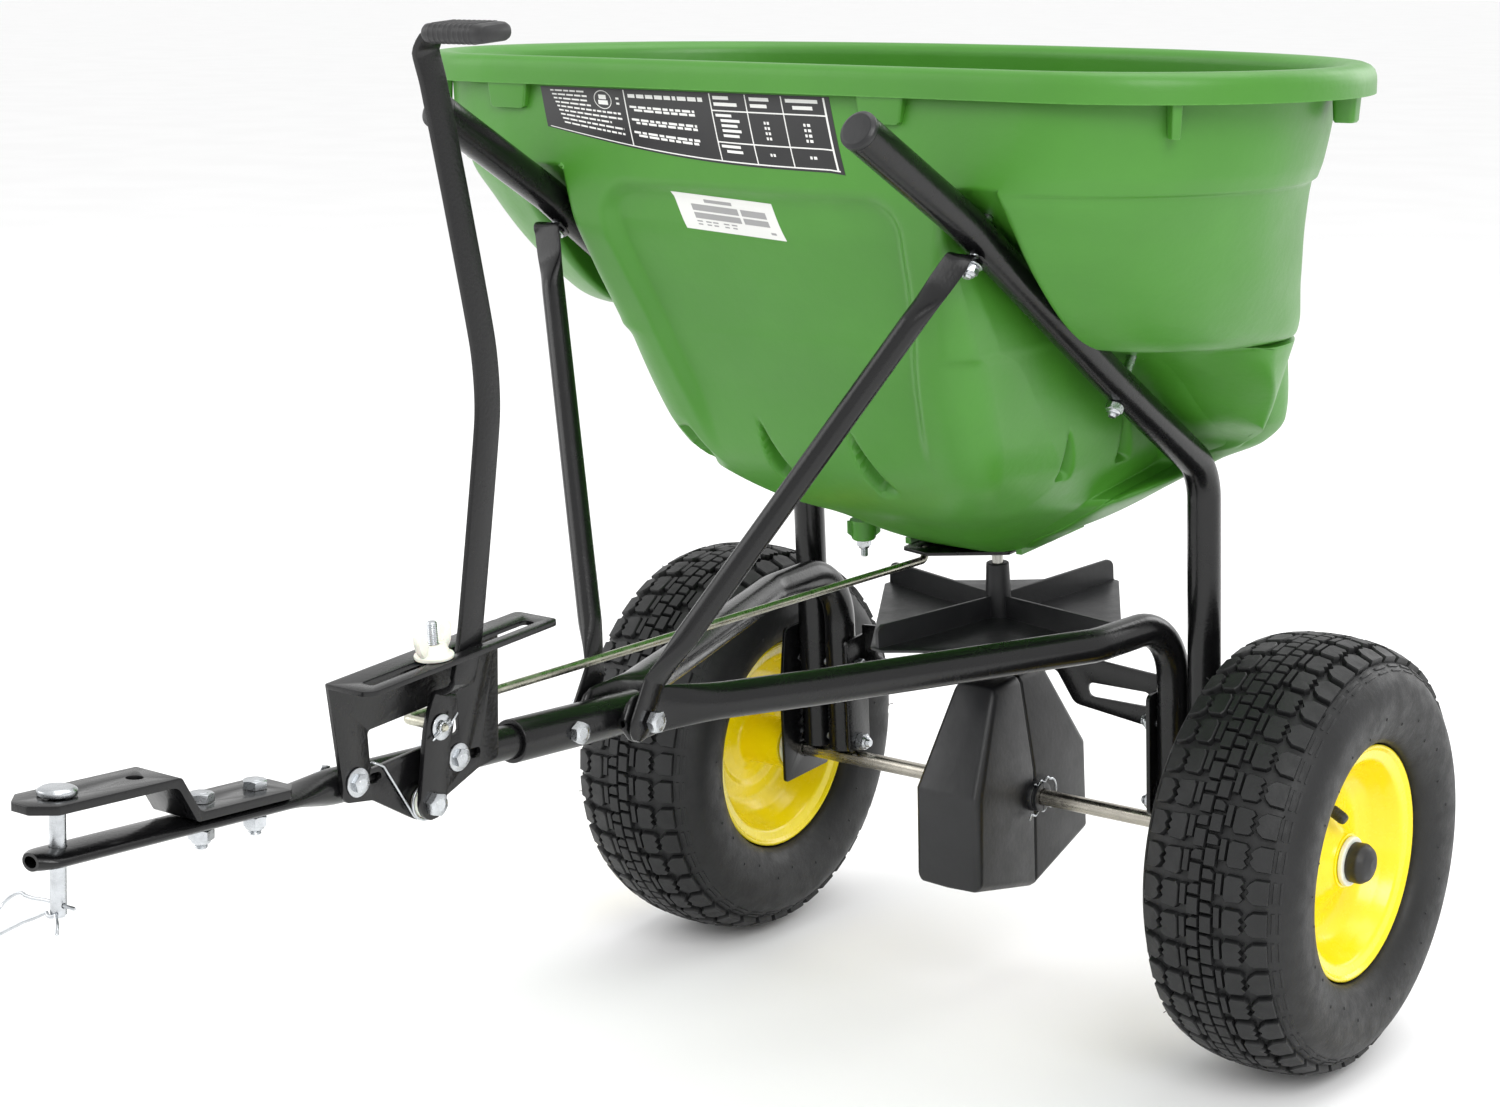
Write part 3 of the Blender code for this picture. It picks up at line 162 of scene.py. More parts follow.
def surface(name, colour, rough, metal=0.0, mottle=0.08, blotch=14.0, spread=0.06, grain=1100.0,
            grain_depth=0.00003, swell=160.0, swell_depth=0.0, scratch=0.0, wear=None, coat=0.0,
            draw=None, specular=0.5):
    """Finish with blotchy colour, uneven gloss, fine grain, scratches and worn edges."""
    g = Graph(name)
    broad = g.noise(blotch, 5.0, 0.6)
    tone = g.remap(broad, 0.30, 0.70, 0.0, 1.0)
    result = g.mix(tone, shade(colour, 1 - mottle), shade(colour, 1 + mottle))
    gloss = g.remap(g.noise(blotch * 3.1, 6.0, 0.65), 0.25, 0.75, rough - spread, rough + spread)
    fine = g.noise(grain, 3.0, 0.6)
    height = g.bump(fine, grain_depth)
    if swell_depth:
        height = g.bump(g.noise(swell, 2.0, 0.4), swell_depth, height)
    if draw:
        lines = g.noise(1.0, 4.0, 0.7, g.stretched(draw))
        result = g.mix(g.remap(lines, 0.35, 0.65, 0.0, 0.55), result, shade(colour, 0.72))
        gloss = g.sum(gloss, g.remap(lines, 0.3, 0.7, -0.07, 0.07))
        height = g.bump(lines, 0.00002, height)
    if scratch:
        lines = g.noise(1.0, 2.0, 0.5, g.stretched((900.0, 25.0, 60.0)))
        marks = g.remap(lines, 0.66, 0.72, 0.0, scratch)
        result = g.mix(marks, result, shade(colour, 1.9))
        gloss = g.sum(gloss, g.sum(marks, 0.25, "MULTIPLY"))
    if wear:
        tint, amount, width = wear
        patchy = g.remap(g.noise(130.0, 4.0, 0.7), 0.35, 0.65, 0.25, 1.0)
        edge = g.sum(g.sum(g.edges(width), patchy, "MULTIPLY"), amount, "MULTIPLY")
        result = g.mix(edge, result, tint)
    g.link(result, g.shader.inputs["Base Color"])
    g.link(gloss, g.shader.inputs["Roughness"])
    g.link(height, g.shader.inputs["Normal"])
    g.shader.inputs["Metallic"].default_value = metal
    g.shader.inputs["Specular IOR Level"].default_value = specular
    g.shader.inputs["Coat Weight"].default_value = coat
    g.shader.inputs["Coat Roughness"].default_value = 0.18
    return g.material


BLACK = surface("powder_coat", (0.0040, 0.0040, 0.0044), 0.25, mottle=0.15, spread=0.05,
                grain=700.0, grain_depth=0.00002, swell=420.0, swell_depth=0.00012,
                scratch=0.10, wear=((0.05, 0.05, 0.052), 0.55, 0.0007), coat=0.10, specular=0.32)
YELLOW = surface("rim_enamel", (0.90, 0.72, 0.0), 0.26, mottle=0.035, blotch=22.0, spread=0.05,
                 grain=600.0, grain_depth=0.00001, swell=300.0, swell_depth=0.00010, coat=0.35,
                 wear=((0.60, 0.40, 0.01), 0.30, 0.0010))
GREEN = surface("hopper_polyethylene", (0.050, 0.215, 0.016), 0.42, mottle=0.075, blotch=5.0,
                spread=0.05, grain=1500.0, grain_depth=0.00006, swell=190.0, swell_depth=0.00014,
                wear=((0.15, 0.42, 0.085), 0.45, 0.0020))
PLASTIC = surface("black_nylon", (0.0070, 0.0073, 0.0085), 0.42, mottle=0.14, spread=0.07,
                  grain=1700.0, grain_depth=0.00005, swell=230.0, swell_depth=0.00012,
                  wear=((0.045, 0.046, 0.050), 0.5, 0.0008))
ZINC = surface("zinc_plate", (0.50, 0.52, 0.54), 0.28, metal=1.0, mottle=0.13, blotch=90.0,
               spread=0.10, grain=1300.0, grain_depth=0.00003,
               wear=((0.85, 0.86, 0.88), 0.6, 0.0004))
OLIVE = surface("olive_zinc", (0.52, 0.51, 0.42), 0.30, metal=1.0, mottle=0.16, blotch=60.0,
                spread=0.09, grain=1000.0, draw=(900.0, 12.0, 900.0))
STEEL = surface("drawn_steel", (0.50, 0.47, 0.41), 0.27, metal=1.0, mottle=0.08, blotch=40.0,
                spread=0.06, draw=(9.0, 1400.0, 1400.0))
SHAFT = surface("shaft_steel", (0.55, 0.54, 0.50), 0.30, metal=1.0, mottle=0.08, blotch=40.0,
                spread=0.07, draw=(1200.0, 1200.0, 9.0))
NYLON = surface("natural_nylon", (0.78, 0.78, 0.69), 0.42, mottle=0.05, blotch=70.0, spread=0.08,
                grain=900.0, grain_depth=0.00004, swell=260.0, swell_depth=0.0001)
NYLON.node_tree.nodes["Principled BSDF"].inputs["Subsurface Weight"].default_value = 0.15
NYLON.node_tree.nodes["Principled BSDF"].inputs["Subsurface Scale"].default_value = 0.003
TYRE = surface("tyre_rubber", (0.0085, 0.0088, 0.0093), 0.52, mottle=0.22, blotch=26.0, spread=0.10,
               grain=1500.0, grain_depth=0.00010, swell=300.0, swell_depth=0.00016,
               wear=((0.036, 0.037, 0.038), 0.55, 0.0009), specular=0.4)
RUBBER = surface("soft_rubber", (0.015, 0.015, 0.016), 0.48, mottle=0.18, blotch=60.0,
                 spread=0.09, grain=1300.0, grain_depth=0.00006)
LABEL_BLACK = surface("label_black", (0.014, 0.014, 0.015), 0.34, mottle=0.10, spread=0.05,
                      grain=1200.0, grain_depth=0.00002)
LABEL_WHITE = surface("label_white", (0.72, 0.72, 0.70), 0.42, mottle=0.04, spread=0.06,
                      grain=1200.0, grain_depth=0.00002)
LABEL_GREY = surface("label_grey", (0.30, 0.30, 0.30), 0.45, mottle=0.06, spread=0.06,
                     grain=1200.0, grain_depth=0.00002)


# ---- shapes: each is (points, faces) ----------------------------------------------------------
def loft(rings, closed=False):
    count = len(rings[0])
    points = [Vector(p) for ring in rings for p in ring]
    faces = []
    for i in range(len(rings) if closed else len(rings) - 1):
        a, b = i * count, (i + 1) % len(rings) * count
        faces += [(a + k, a + (k + 1) % count, b + (k + 1) % count, b + k) for k in range(count)]
    if not closed:
        faces.append(tuple(range(count)))
        faces.append(tuple(range(len(points) - count, len(points))))
    return points, faces


def merge(*shapes):
    points, faces = [], []
    for more_points, more_faces in shapes:
        start = len(points)
        points += more_points
        faces += [tuple(start + k for k in face) for face in more_faces]
    return points, faces


def moved(shape, matrix):
    return [matrix @ Vector(p) for p in shape[0]], shape[1]


def mirrored(shape):
    return [Vector((-p[0], p[1], p[2])) for p in shape[0]], shape[1]


def prism_x(outline, x0, x1):
    return loft([[(x, y, z) for y, z in outline] for x in (x0, x1)])


def prism_y(outline, y0, y1):
    return loft([[(x, y, z) for x, z in outline] for y in (y0, y1)])


def prism_z(outline, z0, z1):
    return loft([[(x, y, z) for x, y in outline] for z in (z0, z1)])


def rounded(corners, radius, steps=5):
    """Closed 2D outline with arcs at its corners; radius is one number or one for each."""
    count = len(corners)
    radii = radius if isinstance(radius, (list, tuple)) else [radius] * count
    outline = []
    for k in range(count):
        before, here, after = (Vector(corners[(k + d) % count]) for d in (-1, 0, 1))
        back, ahead = (before - here).normalized(), (after - here).normalized()
        turn = math.pi - back.angle(ahead)
        if turn < 0.02 or radii[k] <= 0:
            outline.append(tuple(here))
            continue
        centre = here + (back + ahead).normalized() * radii[k] / math.cos(turn / 2)
        start = here + back * radii[k] * math.tan(turn / 2) - centre
        way = 1 if back.x * ahead.y - back.y * ahead.x < 0 else -1
        for s in range(steps + 1):
            a = way * turn * s / steps
            outline.append((centre.x + start.x * math.cos(a) - start.y * math.sin(a),
                            centre.y + start.x * math.sin(a) + start.y * math.cos(a)))
    return outline


def axes(direction):
    along = Vector(direction).normalized()
    side = Vector((1, 0, 0)) if abs(along.x) < 0.9 else Vector((0, 1, 0))
    side = (side - along * side.dot(along)).normalized()
    return side, along.cross(side), along


def aim(start, direction):
    """Matrix that takes local Z to a direction and the origin to a start."""
    side, up, along = axes(direction)
    matrix = Matrix((side, up, along)).transposed().to_4x4()
    return Matrix.Translation(Vector(start)) @ matrix


def lathe(profile, centre=(0, 0, 0), direction=(0, 0, 1), sides=64):
    """Closed (distance, radius) profile turned about an axis; radius 0 closes on the axis."""
    side, up, along = axes(direction)
    rings = []
    for k in range(sides):
        angle = math.tau * k / sides
        across = side * math.cos(angle) + up * math.sin(angle)
        rings.append([Vector(centre) + along * a + across * r for a, r in profile])
    return loft(rings, closed=True)


def path_round(points, radius, step=6.0):
    points = [Vector(p) for p in points]
    path = [points[0]]
    for before, corner, after in zip(points, points[1:], points[2:]):
        back, ahead = (before - corner).normalized(), (after - corner).normalized()
        turn = math.pi - back.angle(ahead)
        if turn < 0.02:
            path.append(corner)
            continue
        centre = corner + (back + ahead).normalized() * radius / math.cos(turn / 2)
        start = corner + back * radius * math.tan(turn / 2)
        axis = (-back).cross(ahead).normalized()
        count = max(2, math.ceil(math.degrees(turn) / step))
        path += [centre + Quaternion(axis, turn * k / count) @ (start - centre)
                 for k in range(count + 1)]
    path.append(points[-1])
    return path


def dense(path, longest):
    result = [path[0]]
    for a, b in zip(path, path[1:]):
        count = max(1, math.ceil((b - a).length / longest))
        result += [a + (b - a) * k / count for k in range(1, count + 1)]
    return result


def smooth(x, low, high):
    t = min(max((x - low) / (high - low), 0.0), 1.0)
    return t * t * (3 - 2 * t)


def sweep(path, section, sides=28, wall=0.0, level=False):
    """Pipe along a path. section(distance, total) gives half width, half height up and down."""
    path = [Vector(p) for p in path]
    total = sum((b - a).length for a, b in zip(path, path[1:]))
    outer, inner, distance, side = [], [], 0.0, None
    for i, point in enumerate(path):
        ahead, behind = path[min(i + 1, len(path) - 1)] - point, point - path[max(i - 1, 0)]
        tangent = (ahead.normalized() + behind.normalized()).normalized()
        distance += behind.length if i else 0.0
        fresh = side is None or level
        side = axes(tangent)[0] if fresh else side - tangent * side.dot(tangent)
        side.normalize()
        up = tangent.cross(side)
        wide, high, low = section(distance, total)
        for rings, inset in ((outer, 0.0), (inner, wall)):
            a, b, c = (max(v - inset, 0.0003) for v in (wide, high, low))
            ring = []
            for k in range(sides):
                t = math.tau * k / sides
                s = math.sin(t)
                ring.append(point + side * a * math.cos(t) + up * s * (b if s > 0 else c))
            rings.append(ring)
    if not wall:
        return loft(outer)
    return loft(outer + inner[::-1], closed=True)


def wire(path, radius, sides=12):
    """Round wire with softly rounded ends."""
    def section(distance, total):
        end = min(distance, total - distance)
        r = radius * (0.55 + 0.45 * smooth(end, 0.0, radius * 0.8))
        return r, r, r

    first = path[0] + (path[1] - path[0]).normalized() * radius * 0.8
    last = path[-1] + (path[-2] - path[-1]).normalized() * radius * 0.8
    return sweep([path[0], first, *path[1:-1], last, path[-1]], section, sides)


def pipe(radius):
    return lambda distance, total: (radius, radius, radius)


# ---- fasteners ------------------------------------------------------------------------------
def hexagon(z0, z1, flats, bottom=False, top=True, sides=48):
    """Hexagonal block along Z; a chamfered end has its corners turned off by a cone."""
    apothem = flats / 2
    rings = []
    angles = [math.tau * k / sides for k in range(sides)]
    reach = [apothem / math.cos(a % (math.pi / 3) - math.pi / 6) for a in angles]
    face = apothem * 0.94
    slope = math.tan(math.radians(28))

    def ring(radii, heights):
        return [(r * math.cos(a), r * math.sin(a), h) for a, r, h in zip(angles, radii, heights)]

    if bottom:
        rings.append(ring([face] * sides, [z0] * sides))
        rings.append(ring(reach, [z0 + (r - face) * slope for r in reach]))
    else:
        rings.append(ring(reach, [z0] * sides))
    if top:
        rings.append(ring(reach, [z1 - (r - face) * slope for r in reach]))
        rings.append(ring([face] * sides, [z1] * sides))
    else:
        rings.append(ring(reach, [z1] * sides))
    return loft(rings)


def thread(z0, z1, radius, pitch, sides=24):
    """Threaded stud end with a chamfered tip."""
    rows = max(6, int((z1 - z0) / pitch * 6))
    depth = pitch * 0.5
    rings = []
    for row in range(rows + 1):
        z = z0 + (z1 - z0) * row / rows
        limit = radius - max(0.0, z - (z1 - pitch)) * 0.9
        ring = []
        for k in range(sides):
            phase = (z / pitch - k / sides) % 1.0
            r = min(radius - depth * abs(2 * phase - 1), limit)
            ring.append((r * math.cos(math.tau * k / sides), r * math.sin(math.tau * k / sides), z))
        rings.append(ring)
    return loft(rings)


def disc(z0, z1, radius, hole=0.0, edge=0.0003, sides=48):
    """Washer or collar with rounded rims."""
    corners = [(z0, hole), (z0, radius), (z1, radius), (z1, hole)]
    return lathe(rounded(corners, [0, edge, edge, 0], 2), sides=sides)


def bolt(head, direction, grip, radius, flats, washer=0.0, nut=True, stud=0.006, lock=True,
         back_washer=0.0, spin=0.0, mark=True):
    """Hexagon bolt through a grip, with its nut and the stud end that stands past it."""
    high = radius * 1.25
    lift = 0.0012 if washer else 0.0
    shapes = [hexagon(-lift - high, -lift, flats)]
    shapes[0] = moved(shapes[0], Matrix.Diagonal((1, 1, -1, 1))
                      @ Matrix.Translation((0, 0, 2 * lift + high)))
    if mark:
        dimple = [(-lift - high - 0.00012, 0.0), (-lift - high - 0.00012, flats * 0.30),
                  (-lift - high + 0.0003, flats * 0.34), (-lift - high + 0.0003, 0.0)]
        shapes.append(lathe(dimple, sides=36))
    if washer:
        shapes.append(disc(-lift, 0.0, washer, radius))
    shapes.append(disc(0.0, grip, radius * 0.99, 0.0, 0.0))
    if nut:
        seat = grip + (0.0010 if back_washer else 0.0)
        if back_washer:
            shapes.append(disc(grip, seat, back_washer, radius))
        tall = radius * 1.55
        shapes.append(hexagon(seat, seat + tall, flats, bottom=True))
        if lock:
            collar = [(seat + tall * 0.9, radius), (seat + tall * 0.9, flats * 0.46),
                      (seat + tall + radius * 0.35, flats * 0.42),
                      (seat + tall + radius * 0.55, flats * 0.36),
                      (seat + tall + radius * 0.55, radius)]
            shapes.append(lathe(rounded(collar, [0, 0, 0.0006, 0.0004, 0], 3), sides=36))
        shapes.append(thread(grip, grip + radius * 1.5 + stud, radius * 0.97, radius * 0.27))
    place = aim(head, direction) @ Matrix.Rotation(spin, 4, "Z")
    return moved(merge(*shapes), place)


# ---- making a piece ---------------------------------------------------------------------------
def attach(obj, body):
    obj.location.y += AXLE_Y
    bpy.context.view_layer.update()
    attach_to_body(obj, body)


def raw(name, shape, place=WORLD, clean=True):
    mesh = bpy.data.meshes.new(name)
    mesh.from_pydata([place @ Vector(p) for p in shape[0]], [], shape[1])
    bm = bmesh.new()
    bm.from_mesh(mesh)
    if clean:
        bmesh.ops.remove_doubles(bm, verts=bm.verts, dist=1e-6)
        bmesh.ops.delete(bm, geom=[e for e in bm.edges if not e.link_faces], context="EDGES")
    bmesh.ops.recalc_face_normals(bm, faces=bm.faces)
    bm.to_mesh(mesh)
    bm.free()
    obj = bpy.data.objects.new(name, mesh)
    bpy.context.scene.collection.objects.link(obj)
    return obj


def bake(obj):
    """Modifiers made real."""
    bpy.context.view_layer.update()
    shown = obj.evaluated_get(bpy.context.evaluated_depsgraph_get())
    mesh = bpy.data.meshes.new_from_object(shown)
    obj.modifiers.clear()
    obj.data = mesh


def carve(obj, cutters, place=WORLD, operation="DIFFERENCE", solver="EXACT"):
    helpers = []
    for cutter in cutters:
        helper = raw(f"{obj.name}_cutter", cutter, place)
        modifier = obj.modifiers.new("carve", "BOOLEAN")
        modifier.operation = operation
        modifier.solver = solver
        modifier.object = helper
        helpers.append(helper)
    bake(obj)
    for helper in helpers:
        bpy.data.objects.remove(helper, do_unlink=True)


def piece(name, shape, material, body, nodes=(), place=WORLD, cuts=(), adds=(),
          bevel=0.0, angle=35.0, segments=2):
    """Visual piece that rides on a body and stands for CAD nodes."""
    obj = raw(name, shape, place)
    if adds:
        carve(obj, adds, place, "UNION")
    if cuts:
        carve(obj, cuts, place)
    if bevel:
        round_edges = obj.modifiers.new("bevel", "BEVEL")
        round_edges.width = bevel
        round_edges.segments = segments
        round_edges.limit_method = "ANGLE"
        round_edges.angle_limit = math.radians(28)
        round_edges.use_clamp_overlap = True
        round_edges.harden_normals = False
        bake(obj)
    obj.data.materials.clear()
    obj.data.materials.append(material)
    obj.data.shade_smooth()
    obj.data.set_sharp_from_angle(angle=math.radians(angle))
    attach(obj, body)
    if nodes:
        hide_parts(*nodes)
    return obj


def drill(start, end, radius, sides=32):
    length = (Vector(end) - Vector(start)).length
    return moved(lathe([(0, 0), (0, radius), (length, radius), (length, 0)], sides=sides),
                 aim(start, Vector(end) - Vector(start)))


# ---- wheels -----------------------------------------------------------------------------------
RIM = [(0.0428, 0.0884), (0.0462, 0.0884), (0.0468, 0.0862), (0.0440, 0.0838), (0.0424, 0.0764),
       (0.0310, 0.0716), (0.0200, 0.0660), (0.0135, 0.0580), (0.0130, 0.0480), (0.0180, 0.0370),
       (0.0255, 0.0280), (0.0310, 0.0225), (0.0335, 0.0206), (0.0350, 0.0206), (0.0350, 0.0169), (-0.0545, 0.0169),
       (-0.0545, 0.0206), (-0.0150, 0.0208), (-0.0118, 0.0290), (-0.0100, 0.0380),
       (-0.0128, 0.0430), (-0.0110, 0.0560), (-0.0190, 0.0650), (-0.0300, 0.0715),
       (-0.0424, 0.0764), (-0.0440, 0.0838), (-0.0468, 0.0862), (-0.0462, 0.0884),
       (-0.0428, 0.0884), (-0.0412, 0.0850), (-0.0400, 0.0782), (0.0400, 0.0782), (0.0412, 0.0850)]
RIM_ROUND = [0.0010, 0.0010, 0.0010, 0.0020, 0.0040, 0.0200, 0.0160, 0.0120, 0.0120, 0.0160,
             0.0160, 0.0100, 0.0020, 0.0006, 0.0004, 0.0004, 0.0006, 0.0040, 0.0060, 0.0035,
             0.0035, 0.0080, 0.0150, 0.0200, 0.0040, 0.0020, 0.0010, 0.0010,
             0.0010, 0.0020, 0.0020, 0.0020, 0.0020]
PITCHES = 42


def safe_rounded(corners, radii, steps):
    """Rounded outline whose arcs never use more than their share of an edge."""
    count, kept = len(corners), []
    for k in range(count):
        before, here, after = (Vector(corners[(k + d) % count]) for d in (-1, 0, 1))
        turn = math.pi - (before - here).angle(after - here)
        room = 0.48 * min((before - here).length, (after - here).length)
        limit = room / math.tan(turn / 2) if turn > 0.02 else 0.0
        kept.append(min(radii[k], limit))
    return rounded(corners, kept, steps)


def tyre_section():
    """Outer skin of the carcass from the crown down to the bead, as (x, radius)."""
    wide, tall, middle, power = 0.0625, 0.0377, 0.1210, 2.0 / 2.35
    skin = []
    for k in range(25):
        t = math.pi / 2 * k / 24
        skin.append((wide * math.sin(t) ** power, middle + tall * math.cos(t) ** power))
    for k in range(1, 13):
        t = math.pi / 2 * k / 12
        skin.append((0.0452 + (wide - 0.0452) * math.cos(t), middle - 0.0312 * math.sin(t)))
    return skin


SKIN = tyre_section()
SKIN_LENGTH = [0.0]
for here, there in zip(SKIN, SKIN[1:]):
    SKIN_LENGTH.append(SKIN_LENGTH[-1] + math.dist(here, there))


def on_tyre(around, across, lift):
    """Point on the carcass: metres round the crown, metres across from it, height above it."""
    v = min(abs(across), SKIN_LENGTH[-1] - 1e-6)
    i = max(k for k in range(len(SKIN) - 1) if SKIN_LENGTH[k] <= v)
    t = (v - SKIN_LENGTH[i]) / (SKIN_LENGTH[i + 1] - SKIN_LENGTH[i])
    (ax, ar), (bx, br) = SKIN[i], SKIN[i + 1]
    nx, nr = -(br - ar), bx - ax
    size = math.hypot(nx, nr)
    x, r = ax + (bx - ax) * t + nx / size * lift, ar + (br - ar) * t + nr / size * lift
    angle = around / 0.1602
    return Vector((math.copysign(x, across) if across else x, r * math.sin(angle), r * math.cos(angle)))


def lug(outline, height):
    """Raised tread block over an outline in (around, across)."""
    cu = sum(p[0] for p in outline) / len(outline)
    cv = sum(p[1] for p in outline) / len(outline)
    reach = sum(math.dist(p, (cu, cv)) for p in outline) / len(outline)
    rings = []
    for grow, lift in ((0.0006, -0.0006), (0.0001, height * 0.55), (-0.0001, height * 0.86),
                       (-0.0006, height)):
        f = 1 + grow / reach
        rings.append([on_tyre(cu + (u - cu) * f, cv + (v - cv) * f, lift) for u, v in outline])
    points, faces = loft(rings)
    faces = faces[:-1]
    count = len(outline)
    points.append(on_tyre(cu, cv, height))
    base = 3 * count
    faces += [(base + k, base + (k + 1) % count, len(points) - 1) for k in range(count)]
    return points, faces


def tread():
    """Every block of the tread: split centre ribs, notched blocks, shield blocks and side bars."""
    pitch = math.tau * 0.1602 / PITCHES
    shapes = []
    for n in range(PITCHES):
        for way in (1, -1):
            base = (n + (0.5 if way < 0 else 0.0)) * pitch

            def at(u, v):
                return (base + u * pitch, way * v * 0.001)

            shapes.append(lug([at(0.04, 0.8), at(0.56, 0.8), at(0.56, 9.4), at(0.04, 9.4)], 0.0049))
            shapes.append(lug([at(0.66, 0.8), at(0.96, 0.8), at(0.96, 6.2), at(0.85, 9.4),
                               at(0.66, 9.4)], 0.0049))
            shapes.append(lug([at(0.26, 11.0), at(0.90, 11.0), at(0.90, 15.4), at(0.26, 15.4)], 0.0044))
            zig = [at(0.88 - 0.76 * k / 6, 31.2 if k % 2 else 28.6) for k in range(7)]
            shapes.append(lug([at(0.10, 19.0), at(0.22, 17.0), at(0.78, 17.0), at(0.90, 19.0), *zig],
                              0.0049))
            zag = [at(0.24 + 0.52 * k / 4, 32.6 if k % 2 else 34.6) for k in range(5)]
            shapes.append(lug([*zag, at(0.88, 38.2), at(0.88, 47.5), at(0.12, 47.5), at(0.12, 38.2)],
                              0.0049))
            shapes.append(lug([at(0.16, 50.4), at(0.84, 50.4), at(0.84, 52.8), at(0.16, 52.8)], 0.0010))
            shapes.append(lug([at(0.16, 55.4), at(0.84, 55.4), at(0.84, 56.8), at(0.16, 56.8)], 0.0008))
    return merge(*shapes)


def nibs():
    """Moulding hairs and vent dots."""
    shapes = []
    for _ in range(34):
        across = rng.choice((-1, 1)) * rng.choice((0.0005, 0.0158, 0.032, 0.0485))
        around = rng.uniform(0.10, 0.90) * math.tau * 0.1602 - 0.5 * math.tau * 0.1602
        if abs(around) > 0.40:
            around *= 0.8
        foot = on_tyre(around, across, 0.0)
        tip = on_tyre(around + rng.uniform(-0.002, 0.002), across, rng.uniform(0.0045, 0.0085))
        shapes.append(sweep([foot, foot.lerp(tip, 0.5) + Vector((0.0003, 0.0002, 0)), tip],
                            pipe(0.00035), 6))
    for n in range(26):
        around = (n + rng.uniform(-0.2, 0.2)) / 26 * math.tau * 0.1602
        for across in (0.0975, -0.0975) if n % 2 else (0.0905, -0.0905):
            shapes.append(lug([(around + 0.0011 * math.cos(a), across + 0.0011 * math.sin(a))
                               for a in (k * math.tau / 8 for k in range(8))], 0.0007))
    return merge(*shapes)


def wheel(side, name, body):
    centre = Vector((side * WHEEL_X, 0, WHEEL_R))
    out = (side, 0, 0)
    place = Matrix.Translation(centre) @ Matrix.Diagonal((side, 1, 1, 1))
    cuts = []
    if body == "idler_wheel":
        cuts.append(drill((-0.236, -0.02, 0.165 - 0.013), (-0.236, -0.04, 0.165 - 0.026), 0.0022))
    piece(f"rim_{name}", lathe(safe_rounded(RIM, RIM_ROUND, 5), centre, out, 72), YELLOW, body,
          (f"wheel_rim_{name}",), cuts=cuts, angle=40)
    skin = SKIN
    inner = [(x * 0.93, r - 0.004 if r > 0.12 else r + 0.001) for x, r in skin[::-1] if r > 0.095]
    bead = [(0.0425, 0.0892), (0.0405, 0.0875), (0.0392, 0.0800), (0.0300, 0.0795)]
    half = skin + bead + inner[:-1] + [(0.0, 0.1562)]
    left = [(-x, r) for x, r in half[::-1]][1:-1]
    spin = Matrix.Rotation(0.03 * side, 4, "X")
    carcass = lathe(half + left, (0, 0, 0), (1, 0, 0), 96)
    tyre = merge(carcass, tread(), nibs())
    piece(f"tyre_tread_{name}", moved(tyre, place @ spin), TYRE, body, (f"tyre_{name}",),
          angle=32)
    flange = [(0.0354, 0.0072), (0.0354, 0.0186), (0.0392, 0.0186), (0.0392, 0.0072)]
    ring = rounded(flange, [0, 0.0009, 0.0012, 0.0004], 4)
    back = rounded([(-0.0549, 0.0072), (-0.0584, 0.0072), (-0.0584, 0.0186), (-0.0549, 0.0186)],
                   [0, 0.0004, 0.0012, 0.0009], 4)
    sleeve = [(-0.0552, 0.0072), (-0.0552, 0.0160), (0.0357, 0.0160), (0.0357, 0.0072)]
    piece(f"hub_rings_{name}", merge(*[lathe(p, centre, out, 56) for p in (ring, back, sleeve)]),
          NYLON, body, (f"hub_bushing_{name}",))
    base = centre + Vector((side * 0.0125, -0.0160, 0.0500))
    lean = Vector((side * 0.0300, -0.0020, -0.0150)).normalized()
    stem = [(-0.0060, 0.0), (-0.0060, 0.0056), (-0.0020, 0.0062), (0.0015, 0.0050), (0.0180, 0.0034),
            (0.0180, 0.0043), (0.0290, 0.0043), (0.0312, 0.0034), (0.0312, 0.0)]
    soft = rounded(stem, [0, 0.001, 0.0015, 0.0025, 0.0003, 0.0006, 0.0010, 0.0010, 0], 3)
    ribs = [disc(0.0192 + 0.0019 * k, 0.0202 + 0.0019 * k, 0.0046, 0.0, 0.0002, 28) for k in range(5)]
    shape = merge(lathe(soft, sides=36), *ribs)
    piece(f"valve_{name}", moved(shape, aim(base, lean)), RUBBER, body, (f"valve_stem_{name}",))
    start = WHEEL_X + 0.0393
    dome = [(0.0, 0.0), (0.0, 0.0150), (0.0085, 0.0152), (0.0135, 0.0120), (0.0165, 0.0052),
            (0.0170, 0.0)]
    cap = rounded(dome, [0, 0.0008, 0.0045, 0.0060, 0.0040, 0], 6)
    piece(f"end_cap_{name}", lathe(cap, (side * start, 0, WHEEL_R), out, 56), RUBBER, "drive_axle",
          (f"axle_cap_{name}",), angle=50)
    spacer = [(0.1973, 0.0068), (0.1973, 0.0128), (0.1990, 0.0134), (0.2034, 0.0134),
              (0.2052, 0.0128), (0.2052, 0.0068)]
    piece(f"axle_spacer_{name}", lathe(rounded(spacer, 0.0004, 3), (0, 0, WHEEL_R), out, 48), ZINC,
          "drive_axle", ())


